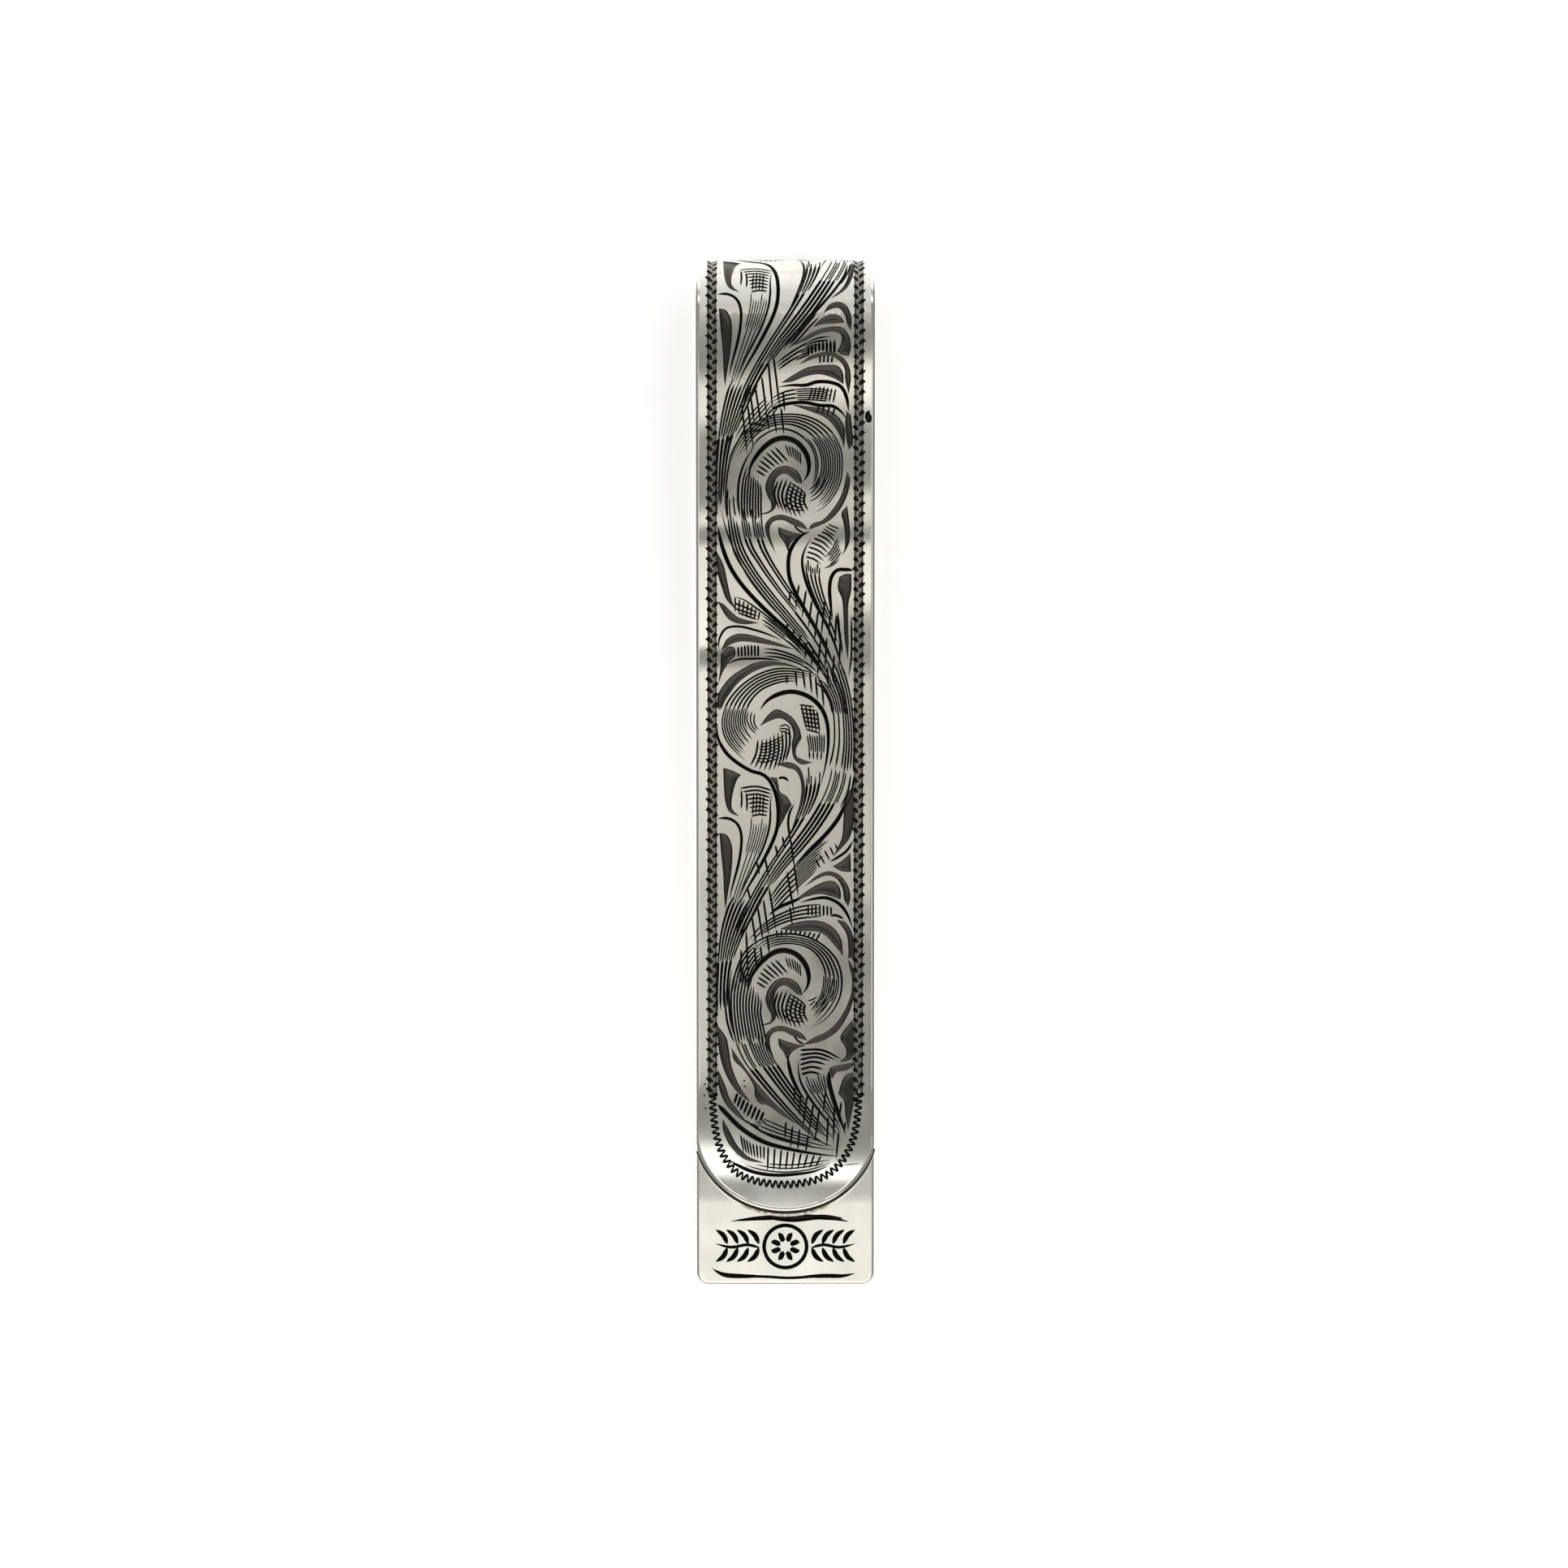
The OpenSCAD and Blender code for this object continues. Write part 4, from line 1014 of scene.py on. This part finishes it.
class Cuts:
    """The grooves and pools of one face, found quickly by place."""

    def __init__(self, strokes, pools):
        self.segments = np.array([
            (*p, *q, a, b) for points, halves in strokes
            for p, q, a, b in zip(points, points[1:], halves, halves[1:])]).reshape(-1, 6)
        self.near = {}
        for k, (px, py, qx, qy, a, b) in enumerate(self.segments):
            w = max(a, b)
            low, high = (min(px, qx) - w, min(py, qy) - w), (max(px, qx) + w, max(py, qy) + w)
            for cell in self.cells(*low, *high):
                self.near.setdefault(cell, []).append(k)
        self.pools = [(np.array(p), d) for p, d in pools]

    @staticmethod
    def cells(x0, y0, x1, y1):
        """The lookup squares that a box touches."""
        for i in range(math.floor(x0 / CELL), math.floor(x1 / CELL) + 1):
            for j in range(math.floor(y0 / CELL), math.floor(y1 / CELL) + 1):
                yield i, j

    def depth(self, points):
        """Depth of the grooves, and of the pools, at each point."""
        grooves = np.zeros(len(points))
        home = np.floor(points / CELL).astype(int)
        order = np.lexsort((home[:, 1], home[:, 0]))
        breaks = np.flatnonzero(np.any(np.diff(home[order], axis=0), axis=1)) + 1
        for group in np.split(order, breaks):
            near = self.near.get(tuple(home[group[0]]))
            if near:
                grooves[group] = self.groove(points[group], self.segments[near])
        pools = np.zeros(len(points))
        for shape, floor in self.pools:
            lo, hi = shape.min(0), shape.max(0)
            inside = np.flatnonzero(np.all((points > lo) & (points < hi), axis=1))
            if len(inside):
                pools[inside] = np.maximum(pools[inside], self.basin(points[inside], shape, floor))
        return grooves, pools

    @staticmethod
    def groove(points, segments):
        """Depth at each point of the deepest V-shaped groove along the segments."""
        start, along = segments[:, :2], segments[:, 2:4] - segments[:, :2]
        offset = points[:, None, :] - start
        size = np.maximum((along ** 2).sum(1), TINY)
        t = np.clip((offset * along).sum(2) / size, 0, 1)
        gap = np.hypot(*np.moveaxis(offset - t[:, :, None] * along, 2, 0))
        half = np.maximum(segments[:, 4] + t * (segments[:, 5] - segments[:, 4]), 1e-6)
        full = np.minimum(GROOVE * half, DEEPEST)
        return (full * np.clip(1 - gap / half, 0, 1)).max(1)

    @staticmethod
    def basin(points, shape, floor):
        """Depth in a pool, which falls steeply at its rim and levels out over CORNER."""
        after = np.roll(shape, -1, 0)
        inside = np.zeros(len(points), bool)
        px, py = points[:, 0], points[:, 1]
        for (ax, ay), (bx, by) in zip(shape, after):
            if ay != by:
                crosses = (ay > py) != (by > py)
                inside ^= crosses & (px < ax + (py - ay) / (by - ay) * (bx - ax))
        along = after - shape
        size = np.maximum((along ** 2).sum(1), TINY)
        offset = points[:, None, :] - shape
        t = np.clip((offset * along).sum(2) / size, 0, 1)
        gap = np.hypot(*np.moveaxis(offset - t[:, :, None] * along, 2, 0)).min(1)
        return np.where(inside, floor * (1 - np.exp(-gap / CORNER)), 0)


def sides_of(line, halves):
    """Left and right rim of a groove."""
    left, right = [], []
    for k, (x, y) in enumerate(line):
        a, b = line[max(k - 1, 0)], line[min(k + 1, len(line) - 1)]
        size = math.dist(a, b) or 1.0
        nx, ny = (a[1] - b[1]) / size, (b[0] - a[0]) / size
        left.append((x + nx * halves[k], y + ny * halves[k]))
        right.append((x - nx * halves[k], y - ny * halves[k]))
    return left, right


def inset(shape, by):
    """A closed outline moved inwards."""
    pts = np.array(shape)
    along = np.roll(pts, -1, 0) - np.roll(pts, 1, 0)
    along /= np.maximum(np.linalg.norm(along, axis=1), 1e-9)[:, None]
    x, y = pts[:, 0], pts[:, 1]
    turn = np.sign((x * np.roll(y, -1) - np.roll(x, -1) * y).sum())
    return pts + by * turn * np.column_stack([-along[:, 1], along[:, 0]])


def face_mesh(border, strokes, pools, extra):
    """Triangulates one face of the strip. border and extra are points (x, s)."""
    points, edges = list(border), [(k, (k + 1) % len(border)) for k in range(len(border))]

    def chain(line, closed=False):
        """Adds a line's points, each joined to the next."""
        first = len(points)
        points.extend(line)
        edges.extend((first + k, first + k + 1) for k in range(len(line) - 1))
        if closed:
            edges.append((first + len(line) - 1, first))

    for line, halves in strokes:
        left, right = sides_of(line, halves)
        chain(left)
        chain(right)
        if max(halves) > MIDLINE:
            chain(line)
    for rim, _ in pools:
        shape = np.array(rim)
        chain([tuple(p) for p in shape], True)
        lo, hi = shape.min(0), shape.max(0)
        inner = inset(shape, RIM_INSET)[::2]
        grid = [(x, y) for x in np.arange(lo[0] + GRID_SPARE, hi[0], GRID)
                for y in np.arange(lo[1] + GRID_SPARE, hi[1], GRID)]
        inner = np.concatenate([inner, grid]) if grid else inner
        points.extend(tuple(p) for p in inner[Cuts.basin(inner, shape, 1.0) > RIM_REACH])
    for line in extra:
        chain(line)
    out = delaunay_2d_cdt([Vector(p) for p in points], edges, [], 0, MERGE, True)
    verts = np.array([tuple(v) for v in out[0]])
    home = {}
    for k, origins in enumerate(out[3]):
        for o in origins:
            home[o] = k
    return verts, np.array(out[2]), [home[k] for k in range(len(border))]


# ---------------------------------------------------------------- building the skins
POLISHED, OXIDE_AND_SHADE, GROUND, AGED, WORN, HANDLED = range(6)
HANDLED_FROM, HANDLED_TO = -0.5, 2.6      # where the bend is dulled by handling
RING = 6                # steps in the rounding of an edge
PROBE = 0.02            # distance over which the slope of a pool's floor is measured
GROOVE_SHOWS, POOL_SHOWS = 0.006, 0.012     # depths from which the metal is dark
TIP_PAINTED_SHADE = 4.5       # length of the tip whose edge is painted dark, as painted shade for the shadow under its lifted end
SLIVER = 1e-14          # area in square metres below which a face has no normal of its own


class Skin:
    """Collects the strip's points in space, and its faces with their corner normals."""

    def __init__(self):
        self.points, self.normals, self.place = [], [], []
        self.faces, self.kinds, self.flat, self.floors = [], [], [], []
        self.count = 0

    def add_points(self, x, s, h, lean_x=None, lean_s=None, waves=True):
        """Points at height h over the outer face. lean is the outward part of the normal."""
        x, s, h = (np.asarray(v, float) for v in (x, s, h))
        y, z, ny, nz = strip(s)
        if lean_x is None:
            rise = np.ones(len(x))
            lean_x = lean_s = np.zeros(len(x))
        else:
            rise = np.sqrt(np.maximum(1 - lean_x ** 2 - lean_s ** 2, 0))
        inner = h < -THICK / 2
        rise = rise * np.where(inner, -1, 1)
        slope, loss = worn(s)
        lean_s = lean_s + np.where(inner, np.sin(slope) * abs(rise), 0)
        if waves:
            lean_s = lean_s - np.sin(wave(x, s, 1)) * (rise > 0)
        h = h + wave(x, s, 2) * np.clip(1 + h / EDGE_R, 0, 1)
        h = h + loss * np.clip((-h - EDGE_R) / (THICK - 2 * EDGE_R), 0, 1)
        normal = np.column_stack([lean_x, rise * ny + lean_s * nz, rise * nz - lean_s * ny])
        normal /= np.linalg.norm(normal, axis=1)[:, None]
        self.points.append(np.column_stack([x, y + h * ny, z + h * nz]))
        self.normals.append(normal)
        self.place.append(s)
        first = self.count
        self.count += len(x)
        return first

    def add_floor_normals(self, first, fall, sign):
        """Remembers the normals that the floors of the pools have at the points from first on."""
        n = self.normals[-1]
        x, s = np.array([1.0, 0, 0]), np.column_stack([0 * n[:, 0], n[:, 2], -n[:, 1]]) * sign
        floor = n + fall[:, :1] * x + fall[:, 1:] * s
        floor /= np.linalg.norm(floor, axis=1)[:, None]
        self.floors.append((first, floor))

    def add_faces(self, faces, kinds=None, flat=None):
        """Faces of the given kinds. A flat one is shaded by its own normal."""
        self.faces += [tuple(int(v) for v in f) for f in faces]
        self.kinds += list(kinds if kinds is not None else [POLISHED] * len(faces))
        self.flat += list(flat if flat is not None else [False] * len(faces))


def slope_of(cuts, verts):
    """How fast the pools' floor falls across and along the strip at each point."""
    fall = np.zeros((len(verts), 2))
    for axis in (0, 1):
        move = np.zeros(2)
        move[axis] = PROBE
        fall[:, axis] = (cuts.depth(verts + move)[1] - cuts.depth(verts - move)[1]) / (2 * PROBE)
    return fall


def in_border(points):
    """Whether points of the front face lie inside the border, where the silver has aged."""
    x, y = points[:, 0], np.where(points[:, 1] > 0, BEND_Y, strip(points[:, 1])[0])
    low = np.minimum(y - BORDER_LOW, 0) / (BORDER_LOW - BORDER_END)
    return (x / BORDER_IN) ** 2 + low ** 2 < 1


def cut_face(skin, base, outward, strokes, pools, extra):
    """Adds the outer (base 0) or inner (base -THICK) face with its engraving."""
    border = [(x - EDGE_R * nx, s - EDGE_R * ns) for x, s, nx, ns in RIM]
    cuts = Cuts(strokes, pools)
    verts, faces, rim = face_mesh(border, strokes, pools, extra)
    grooves, basins = cuts.depth(verts)
    depth = np.maximum(grooves, basins)
    middles = verts[faces].mean(1)
    groove_mid, basin_mid = cuts.depth(middles)
    wall = (basin_mid > GROOVE_SHOWS) & (basin_mid < WALL * FLOOR)
    kinds = np.where(basin_mid > POOL_SHOWS, GROUND, POLISHED)
    kinds[(groove_mid > GROOVE_SHOWS) | wall] = OXIDE_AND_SHADE
    if outward:
        kinds[(kinds == POLISHED) & in_border(middles)] = AGED
        kinds[(kinds == GROUND) & (abs(middles[:, 0]) > BORDER_IN - SIDE_SPARE)] = WORN
        rubbed = (middles[:, 1] > HANDLED_FROM) & (middles[:, 1] < HANDLED_TO)
        kinds[rubbed & np.isin(kinds, (POLISHED, AGED))] = HANDLED
    else:
        faces = faces[:, ::-1]
    sign = 1 if outward else -1
    fall = slope_of(cuts, verts)
    first = skin.add_points(verts[:, 0], verts[:, 1], base - depth * sign, waves=outward)
    skin.add_floor_normals(first, fall, sign)
    skin.add_faces(faces + first, kinds, kinds == OXIDE_AND_SHADE)
    return [first + k for k in rim]


def add_edge(skin, top, bottom):
    """Adds the rounded edge between the rims of the outer and the inner face."""
    x, s, nx, ns = RIM.T
    rings = [top]
    for side in (1, -1):
        for k in range(1, RING + 1) if side > 0 else range(RING, 0, -1):
            a = math.radians(90) * k / RING
            inward, drop = EDGE_R * (1 - math.sin(a)), EDGE_R * (1 - math.cos(a))
            h = np.full(len(x), -drop if side > 0 else drop - THICK)
            first = skin.add_points(x - inward * nx, s - inward * ns, h,
                                    nx * math.sin(a), ns * math.sin(a), waves=False)
            rings.append(list(range(first, first + len(x))))
    rings.append(bottom)
    for ring, (upper, lower) in enumerate(zip(rings, rings[1:])):
        for k in range(len(x)):
            j = (k + 1) % len(x)
            # painted shade: the lower half of the upper rounding near the tip gets the dark metal,
            # standing in for the shadow under the lifted tip
            painted_shade = RING / 2 <= ring < RING and s[k] < TIP_S + TIP_PAINTED_SHADE
            kind = OXIDE_AND_SHADE if painted_shade else POLISHED
            skin.add_faces([(upper[k], lower[k], lower[j], upper[j])], [kind])


def piece(name, skin, lo, hi, materials):
    """Makes the object for the part of the skin between two places along the strip."""
    points = np.concatenate(skin.points) * MM
    normals = np.concatenate(skin.normals)
    floors = normals.copy()
    for first, floor in skin.floors:
        floors[first:first + len(floor)] = floor
    place = np.concatenate(skin.place)
    kept = [k for k, f in enumerate(skin.faces)
            if lo < sum(place[v] for v in f) / len(f) <= hi]
    used = sorted({v for k in kept for v in skin.faces[k]})
    where = {v: k for k, v in enumerate(used)}
    mesh = bpy.data.meshes.new(name)
    faces = [[where[v] for v in skin.faces[k]] for k in kept]
    mesh.from_pydata([points[v] for v in used], [], faces)
    for material in materials:
        mesh.materials.append(material)
    mesh.polygons.foreach_set("material_index", [skin.kinds[k] for k in kept])
    mesh.polygons.foreach_set("use_smooth", [True] * len(kept))
    corners = []
    for k in kept:
        f = skin.faces[k]
        if skin.flat[k]:
            a, b, c = (points[v] for v in f[:3])
            n = np.cross(b - a, c - a)
            size = np.linalg.norm(n)
            n = n / size if size > SLIVER else normals[f[0]]
            corners += [tuple(n)] * len(f)
        else:
            shade = floors if skin.kinds[k] in (GROUND, WORN) else normals
            corners += [tuple(shade[v]) for v in f]
    mesh.validate(clean_customdata=False)
    mesh.normals_split_custom_set(corners)
    mesh.update()
    made = bpy.data.objects.new(name, mesh)
    bpy.context.scene.collection.objects.link(made)
    return made


# ---------------------------------------------------------------- materials
CLOUD_SCALE, SCRATCH_SCALE = 350.0, 1000.0
SCRATCH_DEPTH = 0.00001


def silver(name, colour, rough, spread, grain, bump):
    """Metal whose roughness varies by spread, with fine scratches along the strip."""
    material = bpy.data.materials.new(name)
    material.use_nodes = True
    nodes, links = material.node_tree.nodes, material.node_tree.links
    shader = nodes["Principled BSDF"]
    shader.inputs["Base Color"].default_value = (*colour, 1)
    shader.inputs["Metallic"].default_value = 1.0
    place = nodes.new("ShaderNodeTexCoord")
    stretch = nodes.new("ShaderNodeMapping")
    stretch.inputs["Scale"].default_value = grain
    links.new(place.outputs["Object"], stretch.inputs["Vector"])
    cloud = nodes.new("ShaderNodeTexNoise")
    cloud.inputs["Scale"].default_value = CLOUD_SCALE
    cloud.inputs["Detail"].default_value = 4.0
    links.new(place.outputs["Object"], cloud.inputs["Vector"])
    fit = nodes.new("ShaderNodeMapRange")
    fit.inputs["From Min"].default_value = 0.3
    fit.inputs["From Max"].default_value = 0.7
    fit.inputs["To Min"].default_value = rough
    fit.inputs["To Max"].default_value = rough + spread
    links.new(cloud.outputs["Fac"], fit.inputs["Value"])
    links.new(fit.outputs["Result"], shader.inputs["Roughness"])
    scratch = nodes.new("ShaderNodeTexNoise")
    scratch.inputs["Scale"].default_value = SCRATCH_SCALE
    scratch.inputs["Detail"].default_value = 3.0
    links.new(stretch.outputs["Vector"], scratch.inputs["Vector"])
    relief = nodes.new("ShaderNodeBump")
    relief.inputs["Strength"].default_value = bump
    relief.inputs["Distance"].default_value = SCRATCH_DEPTH
    links.new(scratch.outputs["Fac"], relief.inputs["Height"])
    links.new(relief.outputs["Normal"], shader.inputs["Normal"])
    return material


polished = silver("polished", (0.92, 0.905, 0.835), 0.15, 0.08, (3, 0.3, 1), 0.25)
brushed = silver("brushed", (0.93, 0.92, 0.86), 0.2, 0.12, (3, 0.3, 1), 0.4)
# dark oxide of the grooves and pools; the same dark is also painted shade on the tip's edge and in
# the dark cuts on the tab
oxide_and_shade = silver("oxide_and_shade", (0.030, 0.026, 0.023), 0.42, 0.2, (3, 3, 3), 0.6)
ground = silver("ground", (0.075, 0.069, 0.063), 0.2, 0.15, (4, 4, 4), 0.5)
aged = silver("aged", (0.72, 0.70, 0.64), 0.17, 0.14, (3, 0.6, 1), 0.4)
worn_ground = silver("worn_ground", (0.3, 0.285, 0.26), 0.25, 0.15, (4, 4, 4), 0.5)
handled = silver("handled", (0.86, 0.845, 0.79), 0.4, 0.12, (3, 0.6, 1), 0.4)
FRONT_SILVER = [polished, oxide_and_shade, ground, aged, worn_ground, handled]
BACK_SILVER = [brushed, oxide_and_shade, ground, aged, worn_ground, handled]

paper = bpy.data.materials.new("paper")
paper.use_nodes = True
paper.node_tree.nodes["Principled BSDF"].inputs["Base Color"].default_value = (0.95, 0.95, 0.95, 1)
paper.node_tree.nodes["Principled BSDF"].inputs["Roughness"].default_value = 0.9

# ---------------------------------------------------------------- the clip
draw_all()
border()
marks()
front_strokes = [([(x, float(s_of(y))) for x, y in line], halves) for line, halves in strokes]
front_pools = [([(x, float(s_of(y))) for x, y in shape], FLOOR) for shape in pools]
strokes.clear()
pools.clear()
tab_ornament()


def tab_s(y):
    """Place along the strip of a point y on the tab."""
    return BEND_LENGTH + BEND_Y - y


tab_strokes = [([(x, tab_s(y)) for x, y in line], halves) for line, halves in strokes]

# where the faces have supporting points across the strip, and how those of the tip are laid out
COLUMNS = [-5.85, -5.6] + [-5.0 + 0.5 * k for k in range(21)] + [5.6, 5.85]
COLUMN_GAP = 0.05
TIP_ROWS, TIP_ROW_START, TIP_ROW_STEP = 11, 0.8, 0.4
TIP_GAP, SIDE_GAP = 0.2, 0.1
SAME_PLACE = 0.01


def across(s, reach):
    """A row of points at s, from one side to the other."""
    return [(x, s) for x in (-reach, *[c for c in COLUMNS if abs(c) < reach - COLUMN_GAP], reach)]


def supports():
    """Rows of points that carry the strip's curve, and the seams between its pieces."""
    inner = HALF_W - EDGE_R
    lines = [across(s, inner) for s in SEAMS]
    for s in ROWS:
        if all(abs(s - seam) > SAME_PLACE for seam in SEAMS):
            lines += [[p] for p in across(s, inner)[1:-1]]
    for k in range(TIP_ROWS):
        s = TIP_S + TIP_ROW_START + TIP_ROW_STEP * k
        reach = math.sqrt(max(TIP_R ** 2 - (TIP_R - (s - TIP_S)) ** 2, 0)) - EDGE_R - TIP_GAP
        lines += [[(x, s)] for x in COLUMNS if abs(x) < min(reach, inner - SIDE_GAP)]
    return lines


skin = Skin()
top = cut_face(skin, 0.0, True, front_strokes, front_pools, supports())
under = cut_face(skin, -THICK, False, tab_strokes, [], supports())
add_edge(skin, top, under)

# name, first and last place along the strip, node it replaces, slot, materials
PIECES = [
    ("front_leaf_skin", -math.inf, SEAMS[0], "front_leaf", "engraved_silver", FRONT_SILVER),
    ("upper_bend_skin", SEAMS[0], SEAMS[1], "spring_bend", "engraved_silver", FRONT_SILVER),
    ("lower_bend_skin", SEAMS[1], SEAMS[2], "spring_bend", "engraved_silver", FRONT_SILVER),
    ("back_leaf_skin", SEAMS[2], math.inf, "back_leaf", "polished_silver", BACK_SILVER),
]
made = {}
for name, lo, hi, node, slot, metals in PIECES:
    made[name] = piece(name, skin, lo, hi, metals)
    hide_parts(node)
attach(made["front_leaf_skin"], "front")
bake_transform(made["upper_bend_skin"])
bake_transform(made["lower_bend_skin"])
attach(made["back_leaf_skin"], "back")

# ---------------------------------------------------------------- floor, lights
bpy.ops.mesh.primitive_plane_add(size=3)
floor = bpy.context.object
floor.name = "floor"
floor.data.materials.append(paper)

world = bpy.data.worlds.new("world")
bpy.context.scene.world = world
world.use_nodes = True
world.node_tree.nodes["Background"].inputs["Color"].default_value = (1, 0.985, 0.96, 1)
world.node_tree.nodes["Background"].inputs["Strength"].default_value = 0.24


def softbox(name, tilt_x, tilt_y, distance, width, depth, radiance, colour=(1, 1, 1)):
    """An area light that faces the clip from a distance in metres. tilt_x leans it towards +X
    and tilt_y towards +Y, in degrees from the vertical."""
    light = bpy.data.lights.new(name, "AREA")
    light.shape = "RECTANGLE"
    light.size, light.size_y = width, depth
    light.energy = radiance * math.pi * width * depth
    light.color = colour
    lamp = bpy.data.objects.new(name, light)
    aim = Vector((math.tan(math.radians(tilt_x)), math.tan(math.radians(tilt_y)), 1)).normalized()
    lamp.location = aim * distance
    lamp.rotation_mode = "QUATERNION"
    lamp.rotation_quaternion = aim.to_track_quat("Z", "Y")
    bpy.context.scene.collection.objects.link(lamp)
    return lamp


# the tilts, distance, width, depth and radiance of each light
softbox("near_box", 0, -38, 1.0, 1.6, 1.155, 0.86, (1, 0.985, 0.93))
softbox("far_box", 0, 25, 1.0, 1.6, 0.28, 1.15)
softbox("horizon_box", 0, 67.5, 1.2, 2.0, 0.9, 0.95)
for side in (-1, 1):
    fill = softbox("fill_box", 62 * side, 0, 1.0, 0.8, 1.2, 4.0)
    fill.visible_glossy = False     # so that the polished edges stay grey against the floor

bpy.context.scene.view_settings.view_transform = "Standard"


def corners(pair):
    """Bounds as plain lists, in metres."""
    return [[round(c, 6) for c in v] for v in pair]
